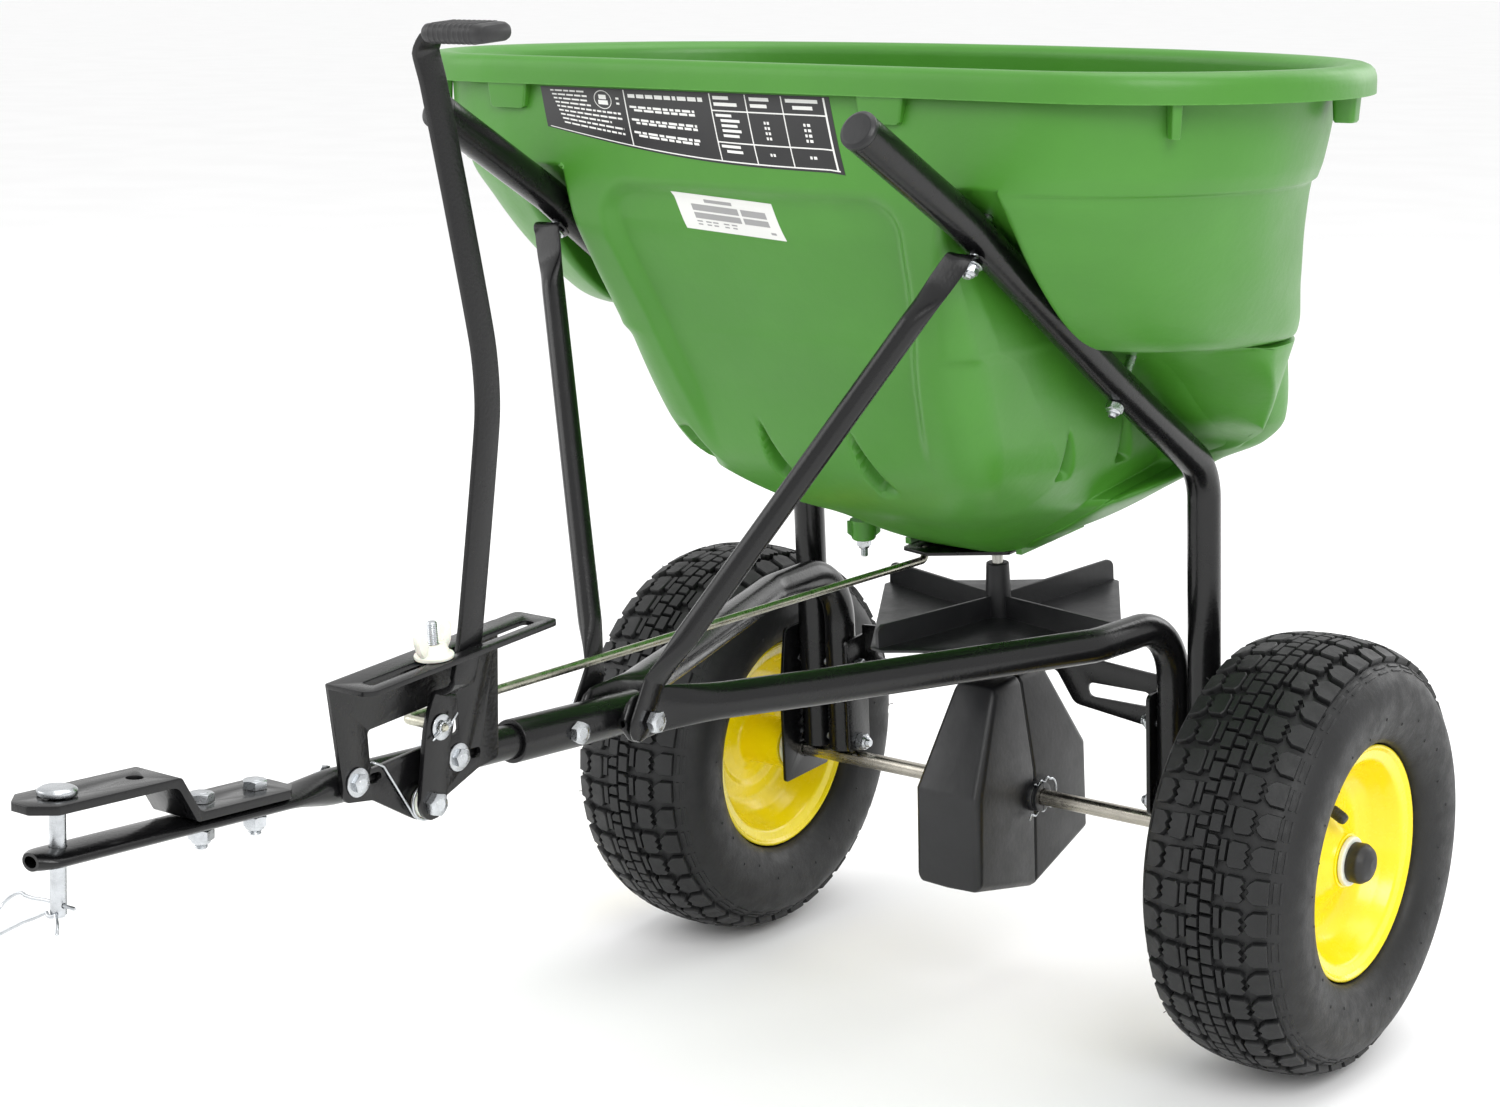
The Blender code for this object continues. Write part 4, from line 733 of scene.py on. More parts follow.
# ---- drive --------------------------------------------------------------------------------------
def drive():
    ends = [(-0.3083, 0.0), (-0.3083, 0.0056), (-0.3075, AXLE_R), (0.3075, AXLE_R),
            (0.3083, 0.0056), (0.3083, 0.0)]
    piece("axle_rod", lathe(ends, (0, 0, WHEEL_R), (1, 0, 0), 48), STEEL, "drive_axle", ("axle",))
    for node in ("crown_gear", "pinion_gear"):
        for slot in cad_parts[node].material_slots:
            slot.material = PLASTIC
    shaft = [(0.0505, 0.0), (0.0505, 0.0036), (0.0512, 0.0043), (0.2525, 0.0043), (0.2538, 0.0034),
             (0.2538, 0.0)]
    piece("spinner_shaft", lathe(shaft, sides=36), SHAFT, "impeller_drive", ("impeller_shaft",),
          CHASSIS)
    gearbox()
    impeller()
    eye = 0.0043 + 0.0022
    path = [Vector((-0.049, -0.015, 0.260)), Vector((-0.032, -0.009, 0.240))]
    for k in range(51):
        angle = -math.pi / 2 + math.tau * k / 20
        path.append(Vector((eye * math.cos(angle), eye * math.sin(angle), 0.236 + 0.0042 * k / 20)))
    path += [Vector((0.032, 0.009, 0.250)), Vector((0.049, 0.015, 0.268))]
    piece("stirrer_wire", wire(path, 0.0015), SHAFT, "impeller_drive", ("agitator",),
          CHASSIS)


def gearbox():
    """Two clamshell halves that meet along the axle, held at the boss by a wavy clip."""
    half_width, gap = 0.030, 0.00035
    for way, name in ((-1, "front"), (1, "rear")):
        side = [(gap, -0.0790), (0.083, -0.056), (0.083, 0.022), (0.036, 0.098), (gap, 0.098),
                (gap, 0.022)]

        def ring(x, inset):
            centre_y, centre_z = 0.034, 0.010
            outline = []
            for y, z in side:
                dy, dz = y - centre_y, z - centre_z
                size = math.hypot(dy, dz)
                py = y if y == gap else y - dy / size * inset * 1.25
                pz = z - dz / size * inset * (1.25 if z != 0.022 or y != gap else 0.0)
                taper = 1 - 0.38 * max(0.0, pz - 0.022) / (0.098 - 0.022)
                outline.append((x * taper, way * py, pz))
            return outline

        body = loft([ring(-half_width, 0.0055), ring(-half_width + 0.0045, 0.0008), ring(0.0, 0.0),
                     ring(half_width - 0.0045, 0.0008), ring(half_width, 0.0055)])
        first = len(body[0]) - 6
        body = body[0], [f for f in body[1] if len(f) < 6] + [(0, 1, 2, 5), (2, 3, 4, 5)] + \
            [tuple(first + k for k in f) for f in ((0, 1, 2, 5), (2, 3, 4, 5))]
        reach = [(0.0, 0.0), (0.0, 0.0128), (0.0045, 0.0118), (0.0045, 0.0104), (0.0068, 0.0104),
                 (0.0068, 0.0118), (0.0085, 0.0118), (0.0085, 0.0068), (0.0, 0.0068)][1:]
        boss = rounded(reach, [0.0003] * 8, 2)
        adds = []
        for x in (1, -1):
            full = lathe(boss, (x * (half_width - 0.0005), 0, 0), (x, 0, 0), 56)
            adds.append(full)
        far = 0.12
        keep = (gap, far) if way > 0 else (-far, -gap)
        slab = loft([[(x, y, z) for x, y in ((-0.06, keep[0]), (0.06, keep[0]), (0.06, keep[1]),
                                             (-0.06, keep[1]))] for z in (-far, far)])
        bosses = raw("boss_half", merge(*adds), CHASSIS)
        bosses.modifiers.clear()
        limiter = raw("boss_limit", slab, CHASSIS)
        clip = bosses.modifiers.new("half", "BOOLEAN")
        clip.operation, clip.solver, clip.object = "INTERSECT", "EXACT", limiter
        bake(bosses)
        piece(f"gear_housing_{name}", body, PLASTIC, "chassis", (f"gearbox_{name}",),
                      CHASSIS, bevel=0.0032, segments=4, angle=50)
        bosses.name = f"gear_boss_{name}"
        bosses.data.materials.append(PLASTIC)
        bosses.data.shade_smooth()
        bosses.data.set_sharp_from_angle(angle=math.radians(35))
        attach(bosses, "chassis")
        bpy.data.objects.remove(limiter, do_unlink=True)
    for x in (1, -1):
        path = []
        for k in range(37):
            t = k / 36
            path.append(Vector((0, -0.0085 + 0.0245 * t,
                                0.0112 + 0.0014 * math.cos(5 * math.pi * t))))
        for k in range(1, 16):
            a = math.pi / 2 - math.pi * k / 15
            path.append(Vector((0, 0.0160 + 0.0075 * math.cos(a), -0.0004 + 0.0103 * math.sin(a))))
        for k in range(37):
            t = k / 36
            path.append(Vector((0, 0.0160 - 0.0300 * t,
                                -0.0122 - 0.0014 * math.cos(5 * math.pi * t))))
        path.append(Vector((0, -0.0165, -0.0150)))
        path = [Vector((x * (half_width + 0.0053), p.y, p.z)) for p in path]
        piece(f"housing_clip_{'left' if x > 0 else 'right'}", wire(path, 0.0009, 10), ZINC,
              "chassis", (), CHASSIS)


def impeller():
    """Square plate with a foot disc, four upright fins along its diagonals and a hub tube."""
    base, tip, thick = 0.1430, 0.128, 0.0025

    def dish(r):
        return 0.0014 * smooth(r, 0.070, 0.128)

    corners = []
    for degrees in BLADES:
        a = math.radians(degrees)
        for w in (-0.0062, 0.0062):
            corners.append((tip * math.cos(a) - w * math.sin(a), tip * math.sin(a) + w * math.cos(a)))
    outline = rounded(corners, 0.0040, 5)
    rim = []
    for (ax, ay), (bx, by) in zip(outline, outline[1:] + outline[:1]):
        count = max(1, round(math.hypot(bx - ax, by - ay) / 0.006))
        rim += [(ax + (bx - ax) * k / count, ay + (by - ay) * k / count) for k in range(count)]
    rings = []
    for z, scale in [(0.0003, 1.0)] + [(0.0, s) for s in (0.995, 0.85, 0.70, 0.55, 0.35, 0.09)] \
            + [(thick, s) for s in (0.09, 0.35, 0.55, 0.70, 0.85, 0.992)] + [(thick - 0.0005, 1.0)]:
        rings.append([(x * scale, y * scale, base + z + dish(math.hypot(x, y) * scale))
                      for x, y in rim])
    shapes = [loft(rings, closed=True)]
    foot = [(base - 0.0035, 0.0047), (base - 0.0035, 0.0630), (base + 0.0013, 0.0660),
            (base + 0.0013, 0.0047)]
    shapes.append(lathe(rounded(foot, [0, 0.0010, 0.0003, 0], 3), sides=96))
    tube = [(base - 0.0045, 0.0047), (base - 0.0045, 0.0105), (0.1600, 0.0100), (0.1880, 0.0090),
            (0.1880, 0.0047)]
    shapes.append(lathe(rounded(tube, [0.0003, 0.0008, 0.004, 0.0012, 0.0005], 4), sides=56))
    for degrees in BLADES:
        a = math.radians(degrees)
        c, s = math.cos(a), math.sin(a)
        top = [(0.0065, 0.0190), (tip - 0.0085, 0.0215)]
        for k in range(1, 8):
            t = math.pi / 2 * k / 8
            top.append((tip - 0.0085 + 0.0071 * math.sin(t), 0.0155 + 0.0060 * math.cos(t)))
        top.append((tip - 0.0014, 0.0155))
        rings = []
        for r, high in [(0.0065 + (tip - 0.0150) * k / 12, 0.0190 + 0.0025 * k / 12)
                        for k in range(12)] + top[1:]:
            foot_z = 0.0008 + dish(r)
            half = 0.0015
            rings.append([Vector((r * c - w * s, r * s + w * c, base + z)) for w, z in
                          ((-half - 0.0008, foot_z), (-half - 0.0003, foot_z + 0.0030),
                           (-half, high - 0.0005), (-half + 0.0005, high), (half - 0.0005, high),
                           (half, high - 0.0005), (half + 0.0003, foot_z + 0.0030),
                           (half + 0.0008, foot_z))])
        shapes.append(loft(rings))
    piece("spinner", merge(*shapes), PLASTIC, "impeller_drive", ("impeller",),
          CHASSIS, angle=40)


# ---- chassis --------------------------------------------------------------------------------------
def end_round(distance, size):
    t = min(distance / size, 1.0)
    return math.sqrt(max(0.0, 1 - (1 - t) ** 2))


def leg(side, name):
    bend = [(LEG_X, 0.0, FOOT), (LEG_X, 0.0, 0.283), (LEG_X - 0.001, -0.133, 0.3786),
            (LEG_TOP_X, -0.300, 0.5090), (LEG_TOP_X - 0.003, -0.407, 0.5800)]
    path = path_round([(side * x, y, z) for x, y, z in bend], 0.045)
    piece(f"leg_{name}", sweep(dense(path, 0.03), pipe(TUBE_R), 32, TUBE_WALL, level=True), BLACK,
          "chassis", (f"leg_tube_{name}",), CHASSIS)
    end, along = path[-1], (path[-1] - path[-2]).normalized()
    plug = [(-0.010, 0.0), (-0.010, 0.0102), (0.0003, 0.0102), (0.0003, 0.0126), (0.0030, 0.0126),
            (0.0048, 0.0100), (0.0048, 0.0)]
    soft = rounded(plug, [0, 0.0005, 0, 0.0002, 0.0012, 0.0020, 0], 4)
    piece(f"leg_plug_{name}", moved(lathe(soft, sides=48), aim(end, along)), PLASTIC, "chassis",
          (f"leg_cap_{name}",), CHASSIS, angle=50)


def frame_tube(side, name):
    corners = [(0.0182, -0.478, 0.2015), (0.0182, -0.440, 0.2010), (0.0600, -0.330, 0.1900),
               (0.1470, -0.100, 0.1700), (FRAME_X, 0.0, 0.1640), (FRAME_X, 0.0, FOOT)]
    path = dense(path_round([(side * x, y, z) for x, y, z in corners], 0.050), 0.006)

    def section(distance, total):
        flat = 1 - smooth(distance, 0.030, 0.088)
        wide = TUBE_R + (0.0038 - TUBE_R) * flat
        high = (TUBE_R + 0.0035 * flat) * (end_round(distance, 0.015) if distance < 0.015 else 1.0)
        return wide, max(high, 0.004), max(high, 0.004)

    piece(f"side_tube_{name}", sweep(path, section, 32, TUBE_WALL), BLACK, "chassis",
          (f"frame_tube_{name}",), CHASSIS)


def axle_plate(side, name):
    corners = [(-0.030, -0.022), (0.030, -0.022), (0.030, 0.110), (-0.022, 0.110), (-0.030, 0.060)]
    outline = safe_rounded(corners, [0.003, 0.003, 0.006, 0.006, 0.02], 5)
    x0, x1 = side * PLATE_X, side * (PLATE_X + PLATE_T)
    holes = [drill((side * 0.19, 0, 0), (side * 0.201, 0, 0), 0.0072)]
    holes += [drill((side * 0.19, 0, z), (side * 0.201, 0, z), 0.0044) for z in (0.080, 0.0155)]
    piece(f"end_plate_{name}", prism_x(outline, x0, x1), BLACK, "chassis", (f"axle_plate_{name}",),
          CHASSIS, cuts=holes, bevel=0.0005)
    seat = PLATE_X + PLATE_T + 0.0004
    grip = seat - (FRAME_X - TUBE_R - 0.0004 - 0.003)
    for level, z, spin in (("upper", 0.080, 0.3), ("lower", 0.0155, 0.9)):
        shape = bolt((side * seat, 0, z), (-side, 0, 0), grip, 0.004, 0.0128, stud=0.005, spin=spin)
        piece(f"plate_bolt_{name}_{level}", shape, ZINC, "chassis", (f"frame_bolt_{name}_{level}",),
              CHASSIS)


def strut(side, name):
    seat = STRUT_BOLT + LEG_NORMAL * (TUBE_R + 0.0030)
    ahead, behind = seat + LEG_SLOPE * 0.012, seat - LEG_SLOPE * 0.011
    corners = [(0.0252, -0.474, 0.190), (0.0252, -0.452, 0.224), ahead, behind]
    path = dense(path_round([(side * p[0], p[1], p[2]) for p in corners], 0.0065, 12.0), 0.0025)

    def section(distance, total):
        left = total - distance
        low = 1 - smooth(distance, 0.040, 0.078)
        high = 1 - smooth(left, 0.040, 0.078)
        dish = 1 - smooth(left, 0.044, 0.078)
        wide = 0.008 - 0.0056 * low + 0.0024 * high
        back = 0.008 + 0.0030 * low - 0.0062 * high
        front = 0.008 + 0.0030 * low - 0.0074 * dish
        end_low = end_round(distance, 0.011) if distance < 0.011 else 1.0
        end_high = end_round(left, 0.010) if left < 0.010 else 1.0
        return wide * max(end_high, 0.3), back * max(end_low, 0.3), front * max(end_low, 0.3)

    piece(f"brace_{name}", sweep(path, section, 32, level=True), BLACK, "chassis",
          (f"strut_{name}",), CHASSIS, angle=40)


def crossbar():
    reach = FRAME_X - TUBE_R - 0.0004
    web = [(-reach, 0.112), (-0.055, 0.118), (-0.045, 0.130), (0.045, 0.130), (0.055, 0.118),
           (reach, 0.112), (reach, 0.068), (0.060, 0.078), (0.044, 0.103), (-0.044, 0.103),
           (-0.060, 0.078), (-reach, 0.068)]
    radii = [0.001, 0.006, 0.004, 0.004, 0.006, 0.001, 0.001, 0.010, 0.006, 0.006, 0.010, 0.001]
    slot = rounded([(0.072, 0.0855), (0.128, 0.0855), (0.128, 0.0975), (0.072, 0.0975)], 0.0055, 6)
    cutters = [prism_y(slot, 0.005, 0.025), mirrored(prism_y(slot, 0.005, 0.025)),
               drill((0, 0, 0.11), (0, 0, 0.15), 0.0079)]
    adds = [prism_z(safe_rounded([(-0.048, -0.030), (0.048, -0.030), (0.048, 0.0145),
                                  (-0.048, 0.0145)], [0.006, 0.006, 0.0005, 0.0005], 5),
                    0.1270, 0.1300)]
    tab = safe_rounded([(-0.014, 0.0085), (0.0145, 0.0085), (0.0145, 0.105), (-0.014, 0.105)],
                       [0.005, 0.002, 0.002, 0.005], 4)
    for side in (1, -1):
        adds.append(prism_x(tab, side * (reach - 0.003), side * reach))
    piece("cross_channel", prism_y(safe_rounded(web, radii, 5), 0.0130, 0.0160), BLACK, "chassis",
          ("gearbox_crossbar",), CHASSIS, adds=adds, cuts=cutters, bevel=0.0005)
    collar = [(0.1245, 0.0047), (0.1245, 0.0074), (0.1304, 0.0074), (0.1304, 0.0102),
              (0.1328, 0.0102), (0.1328, 0.0047)]
    piece("shaft_collar", lathe(rounded(collar, [0.0003, 0.0003, 0, 0.0004, 0.0008, 0.0004], 3),
                                sides=48), PLASTIC, "chassis", ("shaft_bushing",),
          CHASSIS)


# ---- drawbar and hitch ----------------------------------------------------------------------------
def drawbar():
    def section(distance, total):
        flat = 1 - smooth(distance, 0.172, 0.220)
        tip = end_round(distance, 0.012) if distance < 0.012 else 1.0
        return (TONGUE_R + 0.0040 * flat) * max(tip, 0.45), TONGUE_R - 0.0058 * flat, \
            TONGUE_R - 0.0058 * flat

    path = dense([Vector((0, -0.477, 0)), Vector((0, -0.02, 0))], 0.004)
    holes = [drill((0, y, -0.02), (0, y, 0.02), 0.0049) for y in (PIN_Y, -0.360, -0.320)]
    piece("draw_tube", sweep(path, section, 40, 0.0018), BLACK, "chassis", ("hitch_tube",),
          TONGUE, cuts=holes, angle=40)
    ring = [(-0.106, TONGUE_R + 0.0002), (-0.106, SLEEVE_R), (0.016, SLEEVE_R),
            (0.016, TONGUE_R + 0.0002)]
    piece("draw_sleeve", lathe(rounded(ring, [0.0003, 0.0008, 0.0008, 0.0003], 3), (0, 0, 0),
                               (0, 1, 0), 64), BLACK, "chassis", ("tongue_sleeve",),
          TONGUE)
    shape = bolt((SLEEVE_R + 0.0002, -0.0575, 0), (-1, 0, 0), 2 * SLEEVE_R + 0.0004, 0.004, 0.0128,
                 stud=0.003, spin=0.5)
    piece("sleeve_screw", shape, ZINC, "chassis", ("sleeve_bolt",), TONGUE)
    shape = bolt((0.0296, -0.46, 0.200), (-1, 0, 0), 0.0592, 0.004, 0.0132, stud=0.004, spin=0.2)
    piece("tongue_screw", shape, ZINC, "chassis", ("tongue_bolt",), CHASSIS)
    for place, y in (("front", -0.2540), ("rear", -0.1690)):
        seat = BRACKET_X + BRACKET_T + 0.0002
        shape = bolt((seat + 0.0012, y, 0.004), (-1, 0, 0), seat + 0.0012 + TONGUE_R + 0.0004,
                     0.003, 0.0105, stud=0.003, spin=0.2)
        shape = merge(shape, washer_at((seat, y, 0.004), (1, 0, 0), 0.0012, 0.0088, 0.003))
        piece(f"bracket_screw_{place}", shape, ZINC, "chassis", (f"bracket_bolt_{place}",),
              TONGUE)


def washer_at(place, direction, thick, radius, hole):
    return moved(disc(0.0, thick, radius, hole, 0.0004), aim(place, direction))


def hitch():
    gauge = 0.0050
    side = [(-0.484, HITCH_HIGH), (-0.392, HITCH_HIGH), (-0.378, HITCH_LOW), (-0.300, HITCH_LOW),
            (-0.300, HITCH_LOW + gauge), (-0.3755, HITCH_LOW + gauge),
            (-0.3895, HITCH_HIGH + gauge), (-0.484, HITCH_HIGH + gauge)]
    bends = [0.0008, 0.0070, 0.0030, 0.0008, 0.0008, 0.0070, 0.0030, 0.0008]
    plan = safe_rounded([(-0.0065, -0.484), (0.0065, -0.484), (0.018, -0.4725), (0.018, -0.3090),
                         (0.0090, -0.300), (-0.0090, -0.300), (-0.018, -0.3090),
                         (-0.018, -0.4725)], [0.003] * 8, 4)
    holes = [drill((0, y, -0.01), (0, y, 0.05), 0.0049) for y in (-0.360, -0.320, PIN_Y, -0.407)]
    plate = raw("hitch_blank", prism_x(rounded(side, bends, 5), -0.019, 0.019), TONGUE)
    keep = raw("hitch_keep", prism_z(plan, -0.01, 0.05), TONGUE)
    trim = plate.modifiers.new("plan", "BOOLEAN")
    trim.operation, trim.solver, trim.object = "INTERSECT", "EXACT", keep
    bake(plate)
    bpy.data.objects.remove(keep, do_unlink=True)
    finish_piece(plate, "clevis_plate", BLACK, "chassis", ("hitch_plate",), TONGUE,
                 cuts=holes, bevel=0.0007)
    for place, y in (("front", -0.360), ("rear", -0.320)):
        seat = HITCH_LOW + gauge + 0.0002
        shape = bolt((0, y, seat), (0, 0, -1), seat + 0.0052, 0.004, 0.0130, stud=0.0055,
                     spin=0.25 if place == "front" else 0.7)
        piece(f"clevis_screw_{place}", shape, ZINC, "chassis", (f"hitch_bolt_{place}",),
              TONGUE)
    top = HITCH_HIGH + gauge + 0.0004
    start = Vector((0, PIN_Y, top + 0.0045))
    profile = [(0, 0.0), (0, 0.0085), (0.0014, 0.0108), (0.0044, 0.0108), (0.0045, 0.0045),
               (0.0692, 0.0045), (0.0710, 0.0032), (0.0710, 0.0)]
    shape = moved(lathe(rounded(profile, [0, 0.0012, 0.0010, 0.0008, 0.0004, 0.0004, 0.0008, 0], 4),
                        sides=48), aim(start, (0, 0, -1)))
    hole_z = top + 0.0045 - 0.0640
    piece("drawbar_pin", shape, ZINC, "pin", ("hitch_pin",), TONGUE,
          cuts=[drill((-0.01, PIN_Y, hole_z), (0.01, PIN_Y, hole_z), 0.0015)])
    y, z = PIN_Y, hole_z
    back = [(0.0135, y, z), (-0.010, y, z), (-0.020, y - 0.0008, z)]
    loop = []
    for k in range(29):
        angle = math.radians(70 + 225 * k / 28)
        loop.append((-0.0300 + 0.0086 * math.cos(angle), y - 0.0095 + 0.0094 * math.sin(angle), z))
    hug = [(-0.0155, y - 0.0106, z), (-0.0105, y - 0.0086, z + 0.0003)]
    for k in range(9):
        angle = math.radians(-128 + 76 * k / 8)
        hug.append((0.0060 * math.cos(angle), y + 0.0060 * math.sin(angle), z + 0.0004))
    hug += [(0.0085, y - 0.0078, z), (0.0130, y - 0.0118, z)]
    hanging = [Vector((px, py, pz + 1.0 * (py - y))) for px, py, pz in back + loop + hug]
    piece("pin_hairpin", wire(hanging, 0.0011, 14), ZINC,
          "pin_clip", ("hitch_pin_clip",), TONGUE, angle=60)


def finish_piece(obj, name, material, body, nodes, place, cuts=(), bevel=0.0, angle=35.0):
    """Last steps of a piece whose mesh was made by a Boolean."""
    shape = ([v.co.copy() for v in obj.data.vertices], [tuple(p.vertices) for p in obj.data.polygons])
    bpy.data.objects.remove(obj, do_unlink=True)
    back = place.inverted()
    return piece(name, moved(shape, back), material, body, nodes, place, cuts=cuts,
                 bevel=bevel, angle=angle)


# ---- flow control -----------------------------------------------------------------------------------
def bracket():
    outline = [(-0.727, FLANGE_Z), (-0.722, 0.226), (-0.700, 0.221), (-0.672, 0.2015),
               (-0.6660, 0.1975), (-0.6550, 0.1975), (-0.6490, 0.2015), (-0.610, 0.2130),
               (-0.592, 0.2140), (-0.584, FLANGE_Z)]
    radii = [0.0010, 0.004, 0.006, 0.006, 0.003, 0.003, 0.006, 0.008, 0.004, 0.0005]
    x0, x1 = BRACKET_X, BRACKET_X + BRACKET_T
    flange = [(x0 + 0.0005, -0.727), (x0 + 0.036, -0.727), (x0 + 0.036, -0.564),
              (x0 + 0.0005, -0.564)]
    flange = prism_z(safe_rounded(flange, [0.0015, 0.008, 0.006, 0.004], 5), FLANGE_Z - 0.003,
                     FLANGE_Z)
    slot = rounded([(0.0290, -0.716), (0.0390, -0.716), (0.0390, -0.576), (0.0290, -0.576)],
                   0.0030, 5)
    window = rounded([(-0.700, 0.2400), (-0.624, 0.2400), (-0.624, 0.2640), (-0.700, 0.2640)],
                     0.0028, 5)
    cuts = [prism_z(slot, FLANGE_Z - 0.02, FLANGE_Z + 0.02), prism_x(window, 0.0, 0.03),
            drill((0, LEVER_PIVOT.y, LEVER_PIVOT.z), (0.03, LEVER_PIVOT.y, LEVER_PIVOT.z), 0.0044)]
    back = CHASSIS.inverted() @ TONGUE
    for y in (-0.2540, -0.1690):
        ring = [(y + 0.0155 + t[0], 0.0040 + t[1]) for t in
                rounded([(-0.0060, -0.0032), (0.0045, -0.0032), (0.0045, 0.0032),
                         (-0.0060, 0.0032)], 0.0030, 5)]
        cuts.append(moved(prism_x(ring, 0.0, 0.03), back))
    piece("control_bracket", prism_x(safe_rounded(outline, radii, 5), x0, x1), BLACK, "chassis",
          ("flow_bracket",), CHASSIS, adds=[flange], cuts=cuts, bevel=0.0006)
    seat = LEVER_LOW_X + 0.0040 + 0.0002
    shape = bolt((seat, LEVER_PIVOT.y, LEVER_PIVOT.z), (-1, 0, 0), seat - BRACKET_X + 0.0004,
                 0.004, 0.0130, stud=0.001, spin=0.35)
    piece("pivot_screw", shape, ZINC, "chassis", ("lever_pivot_bolt",), CHASSIS)
    ring = rounded([(x1 + 0.0002, 0.0043), (x1 + 0.0002, 0.0098), (LEVER_LOW_X - 0.0005, 0.0098),
                    (LEVER_LOW_X - 0.0005, 0.0043)], [0.0003, 0.0008, 0.0008, 0.0003], 3)
    piece("pivot_spacer", lathe(ring, (0, LEVER_PIVOT.y, LEVER_PIVOT.z), (1, 0, 0), 48), NYLON,
          "chassis", ("pivot_washer",), CHASSIS)
    y0, z0 = LEVER_PIVOT.y, LEVER_PIVOT.z
    coil, thick, pitch = 0.0109, 0.0008, 0.0024
    first = x1 + 0.0004 + thick
    start, angle_sum = math.radians(215), math.radians(505)
    path = [Vector((x0 + 0.001, y0 - 0.0372, z0 + 0.0352)),
            Vector((first, y0 - 0.0352, z0 + 0.0346)), Vector((first, y0 - 0.0300, z0 + 0.0312))]
    for k in range(71):
        t = angle_sum * k / 70
        path.append(Vector((first + pitch * t / math.tau, y0 + coil * math.cos(start + t),
                            z0 + coil * math.sin(start + t))))
    path.append(Vector((path[-1].x, y0 + coil + 0.001, z0 + 0.026)))
    piece("return_spring", wire(path, thick, 12), ZINC, "chassis", ("lever_spring",),
          CHASSIS, angle=60)


def lever():
    thick = 0.0040
    low, high = LEVER_LOW_X + thick / 2, LEVER_HIGH_X + thick / 2
    spine = [Vector(p) for p in (
        (low, -0.6610, 0.1985), (low, -0.6605, 0.2080), (low, -0.6510, 0.2500),
        (low, -0.6420, 0.2720), (high, -0.6390, 0.2790), (high, -0.6280, 0.3100),
        (high, -0.6010, 0.4300), (high, -0.6000, 0.4750), (high, -0.6130, 0.5600),
        (high, -0.6250, 0.6300), (high, -0.6290, 0.6480), (high + 0.010, -0.6300, 0.6586),
        (high + 0.040, -0.6300, 0.6595))]
    half = [0.0088, 0.0110, 0.0115, 0.0102, 0.0096] + [0.0095] * 8
    heavy = path_blend(spine)
    widths = [blend_value(half, len(spine), t) for t in heavy[1]]
    rings = []
    points = heavy[0]
    for i, centre in enumerate(points):
        a, b = points[max(i - 1, 0)], points[min(i + 1, len(points) - 1)]
        along = (b - a).normalized()
        wide = widths[i]
        across = Vector((0, 1, 0)) - along * along.y
        across.normalize()
        normal = across.cross(along).normalized()
        end = min(1.0, (i + 0.35) / 5)
        wide *= math.sqrt(max(0.0, 1 - (1 - end) ** 2))
        corner = 0.0007
        ring = []
        for sx, sy in ((-1, -1), (1, -1), (1, 1), (-1, 1)):
            for k in range(4):
                turn = math.pi / 2 * k / 3
                u, v = math.cos(turn), math.sin(turn)
                if sx * sy < 0:
                    u, v = v, u
                ring.append(centre + normal * sx * (thick / 2 - corner + corner * u)
                            + across * sy * (wide - corner + corner * v))
        rings.append(ring)
    cuts = [drill((0.01, *LEVER_PIVOT[1:]), (0.03, *LEVER_PIVOT[1:]), 0.0043),
            drill((0.01, *ROD_JOINT[1:]), (0.03, *ROD_JOINT[1:]), 0.0040)]
    piece("lever_bar", loft(rings), BLACK, "lever", ("flow_lever",), CHASSIS,
          cuts=cuts, angle=28)
    x0, y0, z0 = high + 0.0095, -0.6300, 0.6588
    stations = [(0.0, 0.55), (0.0006, 0.80), (0.0020, 0.95), (0.0045, 1.0), (0.040, 1.0),
                (0.0435, 0.95), (0.0455, 0.80), (0.0462, 0.55)]
    shell = []
    for along, scale in stations:
        ring = rounded([(-0.0135, -0.0055), (0.0135, -0.0055), (0.0135, 0.0055),
                        (-0.0135, 0.0055)], 0.0050, 6)
        shell.append([(x0 + along, y0 + y * (0.55 + 0.45 * scale), z0 + z * scale)
                      for y, z in ring])
    ridges = []
    for k in range(9):
        x = x0 + 0.0065 + 0.0038 * k
        ring = rounded([(-0.0139, -0.0059), (0.0139, -0.0059), (0.0139, 0.0059),
                        (-0.0139, 0.0059)], 0.0054, 6)
        ridges.append(loft([[(x + dx, y0 + y * s, z0 + z * s) for y, z in ring]
                            for dx, s in ((-0.0008, 0.97), (-0.0003, 1.0), (0.0003, 1.0),
                                          (0.0008, 0.97))]))
    piece("lever_cap", merge(loft(shell), *ridges), RUBBER, "lever", ("lever_grip",),
          CHASSIS)


def path_blend(spine):
    """Catmull-Rom run through the spine, with each sample's place along it."""
    points, places = [], []
    last = len(spine) - 1
    for i in range(last):
        p0, p1, p2, p3 = (spine[min(max(i + d, 0), last)] for d in (-1, 0, 1, 2))
        m1, m2 = (p2 - p0) * 0.28, (p3 - p1) * 0.28
        size = (p2 - p1).length
        m1 = m1.normalized() * min(m1.length, size)
        m2 = m2.normalized() * min(m2.length, size)
        count = max(4, min(24, int(size / 0.003)))
        for k in range(count):
            t = k / count
            a, b = 2 * t ** 3 - 3 * t ** 2 + 1, t ** 3 - 2 * t ** 2 + t
            c, d = -2 * t ** 3 + 3 * t ** 2, t ** 3 - t ** 2
            points.append(p1 * a + m1 * b + p2 * c + m2 * d)
            places.append(i + t)
    points.append(spine[-1])
    places.append(float(last))
    return points, places


def blend_value(values, count, place):
    i = min(int(place), count - 2)
    t = smooth(place - i, 0.0, 1.0)
    return values[i] * (1 - t) + values[i + 1] * t


